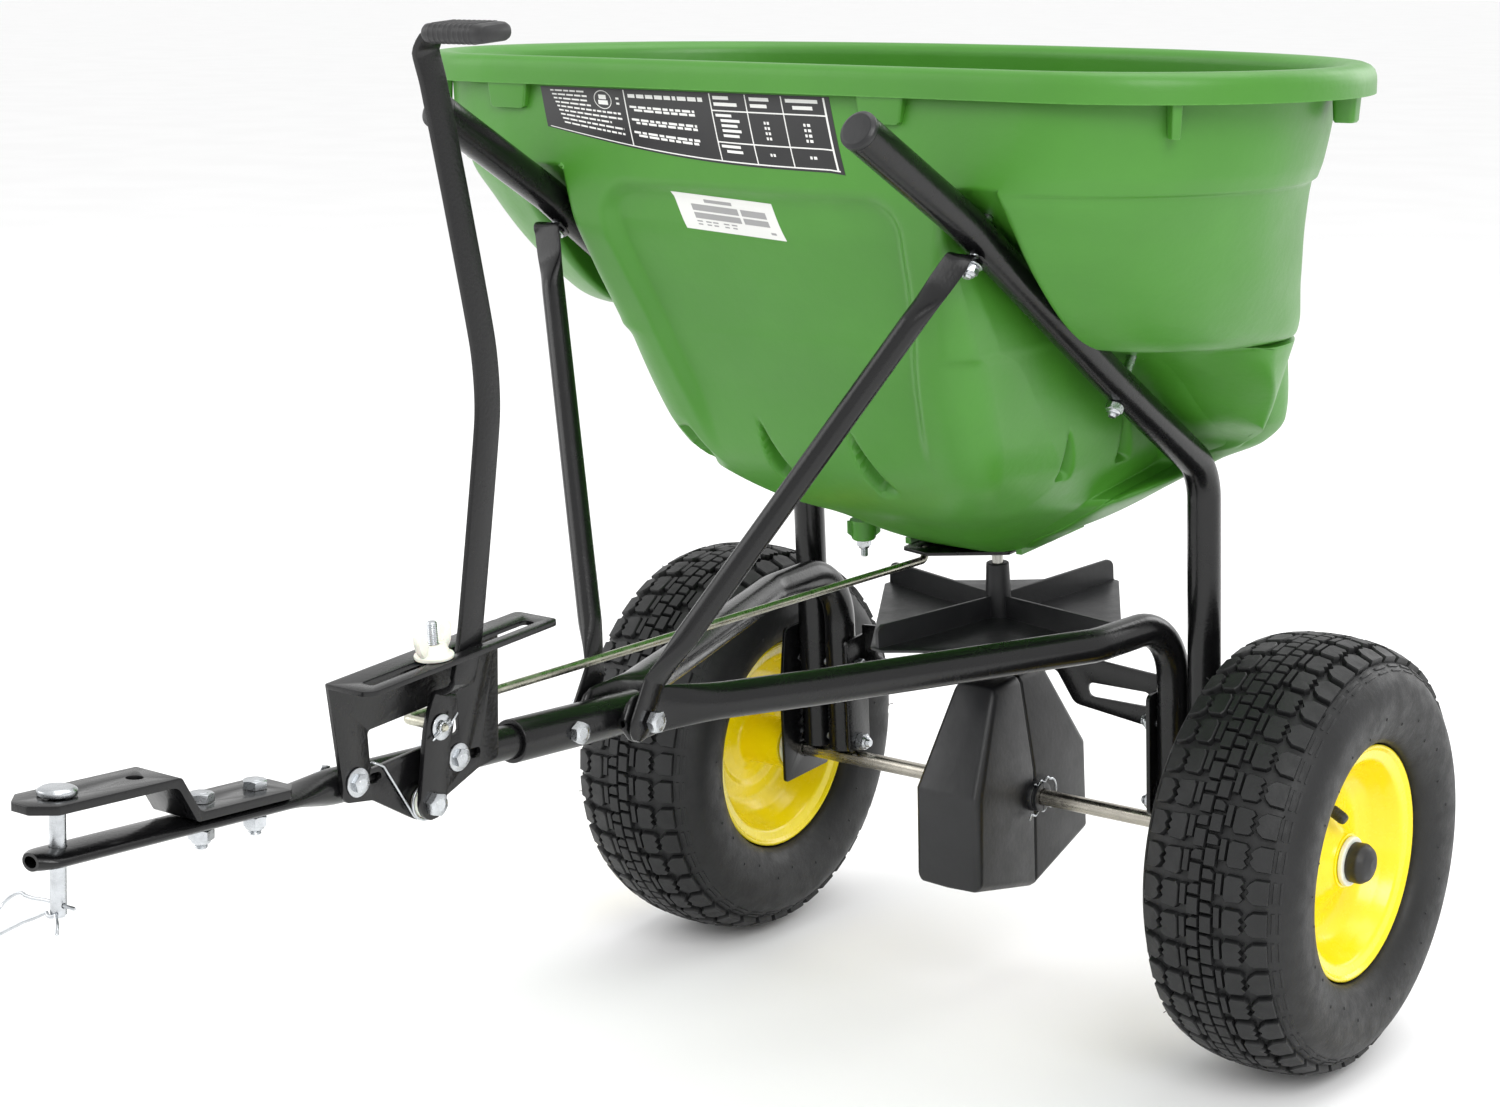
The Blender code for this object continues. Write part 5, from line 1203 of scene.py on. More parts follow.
def rate_stop():
    x, y, z = 0.0340, -0.6600, FLANGE_Z
    stem = moved(thread(-0.0035, 0.0225, 0.0033, 0.0011, 28), Matrix.Identity(4))
    head = rounded([(-0.0066, 0.0), (-0.0066, 0.0048), (-0.0050, 0.0066), (-0.0034, 0.0066),
                    (-0.0034, 0.0)], [0, 0.0014, 0.0010, 0.0003, 0], 4)
    piece("stop_bolt", moved(merge(stem, lathe(head, sides=40)), Matrix.Translation((x, y, z))),
          ZINC, "rate_stop", ("stop_screw",), CHASSIS)
    body = [(0.0002, 0.0036), (0.0002, 0.0117), (0.0026, 0.0120), (0.0038, 0.0096),
            (0.0088, 0.0074), (0.0088, 0.0036)]
    centre = lathe(rounded(body, [0.0003, 0.0008, 0.0010, 0.0016, 0.0010, 0.0003], 4), sides=56)
    wings = []
    for way in (1, -1):
        outline = [(0.0050, 0.0012), (0.0112, 0.0018), (0.0160, 0.0062), (0.0186, 0.0128),
                   (0.0186, 0.0180), (0.0150, 0.0200), (0.0112, 0.0180), (0.0090, 0.0126),
                   (0.0060, 0.0092)]
        plan = safe_rounded(outline, [0.001, 0.003, 0.004, 0.004, 0.003, 0.003, 0.003, 0.003,
                                      0.001], 5)
        cw = sum(w for w, _ in plan) / len(plan)
        ch = sum(h for _, h in plan) / len(plan)
        rings = []
        for t, scale in ((-0.0021, 0.86), (-0.0015, 0.96), (0.0, 1.0), (0.0015, 0.96),
                         (0.0021, 0.86)):
            rings.append([(t, way * (cw + (w - cw) * scale) * 0.9, ch + (h - ch) * scale)
                          for w, h in plan])
        wings.append(loft(rings))
    shape = moved(merge(centre, *wings), Matrix.Translation((x, y, z))
                  @ Matrix.Rotation(0.12, 4, "Z"))
    piece("thumb_nut", shape, NYLON, "rate_stop", ("wing_nut",), CHASSIS, angle=45)


def control_rod():
    jx, jy, jz = ROD_JOINT
    corners = [(jx + 0.0068, jy, jz), (-0.004, jy, jz), (-0.0120, -0.560, 0.2440),
               (-0.030, -0.0560, 0.2000), (-0.030, -0.0560, 0.2105)]
    path = path_round(corners, 0.0050, 8.0)
    piece("gate_rod", wire([Vector(p) for p in path], 0.0030, 24), OLIVE, "rod",
          ("control_rod",), CHASSIS, angle=60)
    seat = LEVER_LOW_X + 0.0044
    ring = washer_at((seat, jy, jz), (1, 0, 0), 0.0010, 0.0080, 0.0031)
    spot = Vector((seat + 0.0024, jy, jz))
    loop = [spot + Vector((0, -0.0105, -0.0050)), spot + Vector((0, -0.0045, -0.0026))]
    loop += [spot + Vector((0.0006 * (k % 2), 0.0037 * math.cos(a), 0.0037 * math.sin(a)))
             for k, a in enumerate(math.radians(215 - 250 * n / 14) for n in range(15))]
    loop += [spot + Vector((0.0004, 0.0066, 0.0018)), spot + Vector((0.0004, 0.0118, 0.0062))]
    split = wire(path_round(loop, 0.0012, 20.0), 0.00075, 10)
    piece("rod_cotter", merge(ring, split), ZINC, "rod", (), CHASSIS, angle=60)


def gate():
    outline = [(-0.044, -0.066), (-0.018, -0.072), (0.036, -0.040), (0.036, 0.060),
               (-0.040, 0.060), (-0.044, 0.0)]
    z0, z1 = 0.2082, 0.2107
    shaft_slot = rounded([(-0.0065, -0.032), (0.0065, -0.032), (0.0065, 0.012),
                          (-0.0065, 0.012)], 0.0060, 6)
    feed = rounded([(0.012, -0.036), (0.030, -0.036), (0.030, -0.010), (0.012, -0.010)], 0.0050, 6)
    lip = prism_y(rounded([(-0.020, z0 + 0.001), (0.034, z0 + 0.001), (0.034, z1 + 0.004),
                           (-0.020, z1 + 0.004)], [0.0005, 0.0005, 0.002, 0.002], 4), 0.0580, 0.0596)
    cuts = [prism_z(shaft_slot, 0.19, 0.22), prism_z(feed, 0.19, 0.22),
            drill((-0.030, -0.056, 0.19), (-0.030, -0.056, 0.22), 0.0036)]
    piece("shutter", prism_z(safe_rounded(outline, [0.004] * 6, 5), z0, z1), BLACK, "gate",
          ("gate_slide",), CHASSIS, adds=[lip], cuts=cuts, bevel=0.0004)


# ---- hopper ---------------------------------------------------------------------------------------
HOPPER_WALL, RIM_Z, RIM_BAND, OUTLET_Y = 0.0035, 0.748, 0.020, -0.0155
# height, front y, ridge x, groove x, lobe x, lobe y, side x, side y, back y
HOPPER_LEVELS = [
    (0.376, -0.066, 0.026, 0.040, 0.046, -0.042, 0.052, -0.0155, 0.036),
    (0.386, -0.090, 0.032, 0.050, 0.057, -0.055, 0.066, -0.0180, 0.040),
    (0.400, -0.130, 0.046, 0.078, 0.088, -0.062, 0.096, -0.0200, 0.042),
    (0.424, -0.196, 0.083, 0.118, 0.130, -0.075, 0.140, -0.0300, 0.043),
    (0.450, -0.234, 0.118, 0.140, 0.156, -0.004, 0.178, 0.0080, 0.044),
    (0.468, -0.250, 0.132, 0.147, 0.196, -0.014, 0.216, 0.0020, 0.045),
    (0.490, -0.264, 0.140, 0.151, 0.200, -0.050, 0.240, -0.0150, 0.045),
    (0.552, -0.296, 0.148, 0.155, 0.200, -0.146, 0.262, -0.0700, 0.046),
    (0.560, -0.299, 0.149, 0.156, 0.203, -0.222, 0.279, -0.1000, 0.046),
    (0.575, -0.306, 0.151, 0.156, 0.202, -0.254, 0.290, -0.1220, 0.046),
    (0.603, -0.320, 0.154, 0.157, 0.201, -0.288, 0.303, -0.1550, 0.046),
    (0.640, -0.337, 0.156, 0.157, 0.200, -0.321, 0.314, -0.1850, 0.046),
    (0.670, -0.341, 0.157, 0.158, 0.200, -0.341, 0.323, -0.2000, 0.046),
    (0.682, -0.341, 0.159, 0.180, 0.210, -0.341, 0.328, -0.2020, 0.046),
    (0.742, -0.336, 0.163, 0.190, 0.220, -0.336, 0.340, -0.1980, 0.040),
]
FLANGE_LEVEL = (-0.3425, 0.165, 0.200, 0.230, -0.3425, 0.3585, -0.1900, 0.0465)
ROOF_Y, ROOF_Z, ROOF_SLOPE = -0.1602, 0.5520, 0.670
CORNER_ARC, SPANS = 7, (72, 44, 64, 10, 12, 10, 26, 40, 22)


def level_at(height):
    """Plan numbers at any height, by a monotone cubic through the levels."""
    rows = HOPPER_LEVELS
    if height >= rows[-1][0]:
        return rows[-1][1:]
    i = max(k for k in range(len(rows) - 1) if rows[k][0] <= max(height, rows[0][0]))
    t = (height - rows[i][0]) / (rows[i + 1][0] - rows[i][0])
    t = min(max(t, 0.0), 1.0)
    gap = rows[i + 1][0] - rows[i][0]
    result = []
    for c in range(1, 9):
        def slope(k):
            if k <= 0 or k >= len(rows) - 1:
                return (rows[min(k + 1, len(rows) - 1)][c] - rows[max(k - 1, 0)][c]) / \
                    (rows[min(k + 1, len(rows) - 1)][0] - rows[max(k - 1, 0)][0])
            a = (rows[k][c] - rows[k - 1][c]) / (rows[k][0] - rows[k - 1][0])
            b = (rows[k + 1][c] - rows[k][c]) / (rows[k + 1][0] - rows[k][0])
            return 0.0 if a * b <= 0 else 2 * a * b / (a + b)

        m0, m1 = slope(i) * gap, slope(i + 1) * gap
        a, b = 2 * t ** 3 - 3 * t ** 2 + 1, t ** 3 - 2 * t ** 2 + t
        d, e = -2 * t ** 3 + 3 * t ** 2, t ** 3 - t ** 2
        result.append(rows[i][c] * a + m0 * b + rows[i + 1][c] * d + m1 * e)
    return tuple(result)


def fixed_arc(before, corner, after, radius):
    """Arc at a corner with a set number of points, squeezed where there is no room."""
    a, b = Vector(before) - Vector(corner), Vector(after) - Vector(corner)
    turn = math.pi - a.angle(b) if a.length > 1e-6 and b.length > 1e-6 else 0.0
    if turn < 0.01:
        reach = min(radius * 0.2, a.length * 0.45, b.length * 0.45)
        return [Vector(corner) + (a.normalized() * reach).lerp(b.normalized() * reach, k / CORNER_ARC)
                if a.length > 1e-6 and b.length > 1e-6 else Vector(corner)
                for k in range(CORNER_ARC + 1)]
    cut = min(radius * math.tan(turn / 2), 0.46 * a.length, 0.46 * b.length)
    radius = cut / math.tan(turn / 2)
    start = Vector(corner) + a.normalized() * cut
    centre = Vector(corner) + (a.normalized() + b.normalized()).normalized() * radius / math.cos(turn / 2)
    way = 1 if a.x * b.y - a.y * b.x < 0 else -1
    arm = start - centre
    points = []
    for k in range(CORNER_ARC + 1):
        s = way * turn * k / CORNER_ARC
        points.append(centre + Vector((arm.x * math.cos(s) - arm.y * math.sin(s),
                                       arm.x * math.sin(s) + arm.y * math.cos(s))))
    return points


def lobe_reach(y):
    """Half width of the lobe just above its underside, at a distance along the machine."""
    front, side, back, wide, start = -0.222, -0.100, 0.046, 0.279, 0.203
    if y <= side:
        fall = min(max(1 - (y - front) / (side - front), 0.0), 1.0)
        return start + (wide - start) * math.sqrt(1 - fall * fall)
    t = min((y - side) / (back - side), 1.0)
    return wide * (1 - t ** 2.2) ** (1 / 2.2)


def scoop(height, x, y):
    """Behind the hollow under the lobe the side wall runs straight on down."""
    if height > 0.5555 or height < 0.445:
        return Vector((x, y))
    edge = -0.055 - 0.065 * smooth(height, 0.480, 0.556)
    depth = smooth(height, 0.456, 0.474)
    full = (0.2500 + 0.0270 * (height - 0.470) / 0.086) / 0.279
    wanted = max(x, full * lobe_reach(y))
    return Vector((x + (wanted - x) * depth * smooth(y, edge - 0.006, edge + 0.016), y))


def hopper_half(height, values):
    """Left half of the plan: front panel, ridge, groove, lobe, round end and flat back."""
    front, ridge, groove, lobe, lobe_y, side, side_y, back = values
    roof = max(ROOF_Y - (height - ROOF_Z) / ROOF_SLOPE, front)
    above = smooth(height, 0.548, 0.562)
    deep = roof * above + (lobe_y - 0.012) * (1 - above)
    depth = 0.40 + (0.30 - 0.40) * above
    middle = ((ridge + groove) / 2 + 0.002, front + depth * (deep - front))
    inner = (lobe - 0.001 * (1 - above), deep * above + lobe_y * (1 - above))
    corners = [(0.0, front), (ridge, front), middle, (groove, deep), inner, (lobe, lobe_y)]
    radii = [0, 0.030, 0.045, 0.008, 0.008, 0.016]
    runs, start = [], Vector(corners[0])
    curve = [scoop(height, lobe + (side - lobe) * math.sin(k / 32 * math.pi / 2),
                   lobe_y + (side_y - lobe_y) * (1 - math.cos(k / 32 * math.pi / 2)))
             for k in range(33)]
    ends = [*corners[1:], tuple(curve[3])]
    for k in range(1, len(corners)):
        arc = fixed_arc(corners[k - 1], corners[k], ends[k], radii[k])
        runs.append((start, arc[0]))
        runs.append(arc)
        start = arc[-1]
    half = []
    for index, run in enumerate(runs):
        if isinstance(run, tuple):
            count = SPANS[index // 2]
            half += [run[0].lerp(run[1], k / count) for k in range(count)]
        else:
            half += run[:-1]
    half.append(start)
    half += [start.lerp(curve[4], 0.5)] + curve[4:]
    for k in range(1, 40):
        angle = k / 40 * math.pi / 2
        power = 1 - 0.10 * math.sin(2 * angle)
        half.append(scoop(height, side * math.cos(angle) ** power,
                          side_y + (back - side_y) * math.sin(angle) ** power))
    return half


def hopper_plan(height, values, drop=0.0):
    half = hopper_half(height, values)
    tail = [half[-1].lerp(Vector((0.0, values[-1])), k / 6) for k in range(1, 7)]
    half = half + tail
    plan = half + [Vector((-p.x, p.y)) for p in half[-2:0:-1]]
    tilt = math.tan(math.radians(4.2)) * drop
    return [Vector((p.x, p.y, height + tilt * (p.y - OUTLET_Y))) for p in plan]


def hopper_heights():
    heights, h = [], 0.376
    while h < 0.7405:
        heights.append(h)
        fine = 0.443 < h < 0.494 or 0.546 < h < 0.582 or 0.664 < h < 0.686
        h += 0.0014 if fine else 0.0034
    return heights + [0.7405]


def panel_push(p):
    """Depth of the moulded features pressed into the front of the bin."""
    push = 0.0
    if p.y < -0.10 and abs(p.x) < 0.20:
        wide = 0.098 + 0.030 * smooth(p.z, 0.46, 0.66)
        high = 0.664
        corner = 0.030
        dx, dz = abs(p.x) - (wide - corner), p.z - (high - corner)
        edge = math.hypot(max(dx, 0.0), max(dz, 0.0)) - corner
        if dx <= 0 and dz <= 0:
            edge = max(dx, dz) - corner
        fade = smooth(p.z, 0.455, 0.520)
        push += 0.0085 * fade * (1 - smooth(edge, -0.010, 0.002))
    for x, lean, top, bottom in ((-0.123, 0.30, 0.4960, 0.4500), (-0.048, 0.20, 0.4930, 0.4460),
                                 (0.030, 0.32, 0.4930, 0.4440)):
        if p.y < -0.10 and bottom - 0.004 < p.z < top + 0.004:
            t = (top - p.z) / (top - bottom)
            centre = x + lean * (top - p.z)
            size = 0.0022 + 0.0085 * smooth(t, 0.0, 1.0)
            u = (p.x - centre + size) / (2 * size)
            across = smooth(u, 0.0, 0.20) * (1 - smooth(u, 0.30, 1.0))
            push += 0.0115 * across * smooth(t, -0.04, 0.60) * (1 - smooth(t, 0.94, 1.02))
    for side_y, lean, top, bottom in ((-0.158, -0.42, 0.4930, 0.4520),
                                      (-0.086, -0.42, 0.4980, 0.4560)):
        if abs(p.x) > 0.075 and p.y > -0.19 and bottom - 0.004 < p.z < top + 0.004:
            t = (top - p.z) / (top - bottom)
            centre = side_y - lean * (top - p.z)
            size = 0.0022 + 0.0080 * smooth(t, 0.0, 1.0)
            u = (p.y - centre + size) / (2 * size)
            across = smooth(u, 0.0, 0.20) * (1 - smooth(u, 0.30, 1.0))
            push += 0.0110 * across * smooth(t, -0.04, 0.60) * (1 - smooth(t, 0.94, 1.02))
    return push


def step_push(p):
    """Line moulded round the lobes, below which the wall stands back."""
    if abs(p.x) < 0.205:
        return 0.0
    t = smooth(abs(p.x), 0.205, 0.225)
    return 0.0030 * t * (1 - smooth(p.z, 0.6690, 0.6712)) * smooth(p.z, 0.560, 0.600)


def hopper_skin():
    rings = []
    for h in hopper_heights():
        drop = 1.0 - smooth(h, 0.386, 0.412)
        rings.append(hopper_plan(h, level_at(h), drop))
    count = len(rings[0])
    shifted = [[p.copy() for p in ring] for ring in rings]
    for i in range(1, len(rings) - 1):
        for k in range(count):
            p = rings[i][k]
            depth = panel_push(p) + step_push(p)
            if depth <= 0:
                continue
            up = rings[i + 1][k] - rings[i - 1][k]
            along = rings[i][(k + 1) % count] - rings[i][k - 1]
            normal = along.cross(up)
            if normal.length > 1e-12:
                normal.normalize()
                if normal.dot(Vector((p.x, p.y + 0.08, 0))) < 0:
                    normal = -normal
                shifted[i][k] = p - normal * depth
    rings = shifted
    top, flange = rings[-1], hopper_plan(RIM_Z - 0.004, FLANGE_LEVEL)
    rolls = [(0.05, 0.0068), (0.16, 0.0052), (0.32, 0.0042), (0.52, 0.0039), (0.72, 0.0042),
             (0.86, 0.0052), (0.95, 0.0068), (0.99, 0.0092), (1.0, 0.0120), (1.0, 0.0160),
             (1.0, 0.0185), (0.998, RIM_BAND)]
    for t, fall in rolls:
        ring = []
        for a, b in zip(top, flange):
            p = a.lerp(b, t)
            ring.append(Vector((p.x, p.y, RIM_Z - fall)))
        rings.append(ring)
    return rings


def drum_block(x, y, z0, z1, wide, deep, turn=0.0):
    """Small moulded gusset with drafted, rounded sides."""
    outline = rounded([(-wide, -deep), (wide, -deep), (wide, deep), (-wide, deep)],
                      min(wide, deep) * 0.45, 4)
    rings = []
    for z, s in ((z0, 0.72), (z0 + 0.0015, 0.84), (z1, 1.0)):
        rings.append([Vector((x + (u * math.cos(turn) - v * math.sin(turn)) * s,
                              y + (u * math.sin(turn) + v * math.cos(turn)) * s, z))
                      for u, v in outline])
    return loft(rings)


def hopper():
    rings = hopper_skin()
    count = len(rings[0])
    points = [p for ring in rings for p in ring]
    faces = []
    for i in range(len(rings) - 1):
        a, b = i * count, (i + 1) * count
        faces += [(a + k, a + (k + 1) % count, b + (k + 1) % count, b + k) for k in range(count)]
    middle = Vector((0, OUTLET_Y, 0.376))
    inner = [[p.lerp(middle, t) for p in rings[0]] for t in (0.25, 0.5, 0.75)]
    tilt = math.tan(math.radians(4.2))
    base = 0
    for ring in inner:
        start = len(points)
        for p in ring:
            p.z = 0.376 + tilt * (p.y - OUTLET_Y)
            points.append(p)
        faces += [(base + k, base + (k + 1) % count, start + (k + 1) % count, start + k)
                  for k in range(count)]
        base = start
    points.append(middle)
    faces += [(base + k, base + (k + 1) % count, len(points) - 1) for k in range(count)]
    obj = raw("bin_skin", (points, faces))
    bm = bmesh.new()
    bm.from_mesh(obj.data)
    floor = min(bm.faces, key=lambda f: f.calc_center_median().z)
    if floor.normal.z > 0:
        bmesh.ops.reverse_faces(bm, faces=bm.faces)
    bm.to_mesh(obj.data)
    bm.free()
    relax = obj.modifiers.new("relax", "SMOOTH")
    relax.factor, relax.iterations = 0.5, 1
    wall = obj.modifiers.new("wall", "SOLIDIFY")
    wall.thickness, wall.offset = HOPPER_WALL, -1.0
    wall.use_even_offset = False
    bake(obj)
    outer = BVHTree.FromObject(obj, bpy.context.evaluated_depsgraph_get())
    cuts = [moved(drill((0, 0, 0.18), (0, 0, 0.235), 0.0053), CHASSIS)]
    feed = rounded([(0.012, -0.036), (0.030, -0.036), (0.030, -0.010), (0.012, -0.010)], 0.005, 5)
    cuts.append(moved(prism_z(feed, 0.18, 0.24), CHASSIS))
    for side in (1, -1):
        for spot in (STRUT_BOLT, HOPPER_BOLT):
            centre = Vector((side * spot.x, spot.y, spot.z))
            cuts.append(moved(drill(centre - LEG_NORMAL * 0.034, centre - LEG_NORMAL * 0.008,
                                    0.0038), CHASSIS))
    carve(obj, cuts, solver="MANIFOLD")
    obj.name = "bin_shell"
    obj.data.materials.clear()
    obj.data.materials.append(GREEN)
    obj.data.shade_smooth()
    obj.data.set_sharp_from_angle(angle=math.radians(48))
    attach(obj, "chassis")
    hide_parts("hopper")
    bin_fittings()
    decals(outer)
    bolts()
    return obj


def bin_fittings():
    """Ribs, the outlet collar, the hung post and the gussets under the rim."""
    parts = []
    for side in (1, -1):
        parts += [drum_block(side * 0.3040, -0.3048, 0.707, 0.734, 0.0035, 0.0070, side * 0.80),
                  drum_block(side * 0.3425, -0.1485, 0.711, 0.734, 0.0090, 0.0085, side * 1.75),
                  drum_block(side * 0.2735, -0.0354, 0.711, 0.734, 0.0090, 0.0062, side * 2.446)]
    for x, wide in ((-0.207, 0.019), (0.112, 0.019)):
        parts.append(drum_block(x, -0.3395, 0.711, 0.734, wide, 0.0050))
    under = []
    collar = [(0.2122, 0.0062), (0.2122, 0.0150), (0.2150, 0.0175), (0.2230, 0.0190),
              (0.2230, 0.0062)]
    under.append(lathe(rounded(collar, [0.0004, 0.002, 0.002, 0, 0], 4), sides=48))
    for k in range(8):
        angle = math.tau * (k + 0.5) / 8
        a, b = math.cos(angle), math.sin(angle)
        fin = [(12.5, 0.2124), (22.0, 0.2170), (22.0, 0.2240), (12.5, 0.2240)]
        rings = []
        for w in (-0.0011, 0.0011):
            rings.append([Vector((r * 0.001 * a - w * b, r * 0.001 * b + w * a, z))
                          for r, z in fin])
        under.append(loft(rings))
    post = [(0.2170, 0.0), (0.2170, 0.0082), (0.2185, 0.0095), (0.2330, 0.0105), (0.2330, 0.0)]
    under.append(moved(lathe(rounded(post, [0, 0.001, 0.002, 0, 0], 4), sides=40),
                       Matrix.Translation((-0.070, -0.080, 0.0))))
    for turn in (0.5, 2.2, 4.1):
        rings = []
        for w in (-0.0012, 0.0012):
            c, s = math.cos(turn), math.sin(turn)
            rings.append([Vector((-0.070 + r * c - w * s, -0.080 + r * s + w * c, z))
                          for r, z in ((0.009, 0.2195), (0.0130, 0.2230), (0.0130, 0.2330),
                                       (0.009, 0.2330))])
        under.append(loft(rings))
    for x0, x1, y0, y1 in ((-0.052, -0.047, -0.050, 0.056), (0.040, 0.045, -0.036, 0.056)):
        under.append(loft([[Vector((x, y, z)) for x, y in ((x0, y0), (x1, y0), (x1, y1), (x0, y1))]
                           for z in (0.2085, 0.2135)]))
    shape = merge(*parts, *[moved(p, CHASSIS) for p in under])
    piece("bin_ribs", shape, GREEN, "chassis", (), angle=35)
    hung = bolt((-0.070, -0.080, 0.2270), (0, 0, -1), 0.0102, 0.0032, 0.0100, stud=0.0085,
                spin=0.3)
    piece("post_screw", hung, ZINC, "chassis", (), CHASSIS)


def bolts():
    for side, name in ((1, "left"), (-1, "right")):
        for kind, spot, roof, brace in (("strut_bolt", STRUT_BOLT, 0.0095, 0.0060),
                                        ("hopper_bolt", HOPPER_BOLT, 0.0135, 0.0)):
            centre = Vector((side * spot.x, spot.y, spot.z))
            seat = TUBE_R + roof
            head = centre - LEG_NORMAL * seat
            grip = seat + TUBE_R + 0.0004 + brace
            shape = bolt(head, LEG_NORMAL, grip, 0.0034, 0.0112, washer=0.0085, stud=0.0045,
                         back_washer=0.0080 if brace else 0.0, spin=0.4)
            piece(f"{kind.replace('bolt', 'screw')}_{name}", shape, ZINC, "chassis",
                  (f"{kind}_{name}",), CHASSIS)


# ---- labels -----------------------------------------------------------------------------------------
LABEL_LEAN, LABEL_LEAN_Z = -0.33, 0.700


def label_sheet(edge, tree, lift, thick, columns=72, rows=14):
    """Thin sheet laid on the front of the bin: edge(u) gives x, bottom z and top z."""
    front, back = [], []
    for i in range(columns + 1):
        x, z0, z1 = edge(i / columns)
        line_front, line_back = [], []
        for j in range(rows + 1):
            z = z0 + (z1 - z0) * j / rows
            px = x + LABEL_LEAN * (z - LABEL_LEAN_Z)
            hit, normal, _, _ = tree.ray_cast(Vector((px, -0.6, z)), Vector((0, 1, 0)))
            hit = hit or Vector((px, -0.34, z))
            if normal is None or normal.y > 0:
                normal = Vector((0, -1, 0))
            line_front.append(hit + normal * (lift + thick))
            line_back.append(hit + normal * lift)
        front.append(line_front)
        back.append(line_back)
    wide = rows + 1
    points = [p for line in front for p in line] + [p for line in back for p in line]
    offset = len(front) * wide
    faces = []
    for i in range(columns):
        for j in range(rows):
            a = i * wide + j
            faces.append((a, a + wide, a + wide + 1, a + 1))
            faces.append((offset + a, offset + a + 1, offset + a + wide + 1, offset + a + wide))
    rim = [i * wide for i in range(columns + 1)] + [columns * wide + j for j in range(1, rows + 1)]
    rim += [i * wide + rows for i in range(columns - 1, -1, -1)]
    rim += [j for j in range(rows - 1, 0, -1)]
    for a, b in zip(rim, rim[1:] + rim[:1]):
        faces.append((a, offset + a, offset + b, b))
    return points, faces


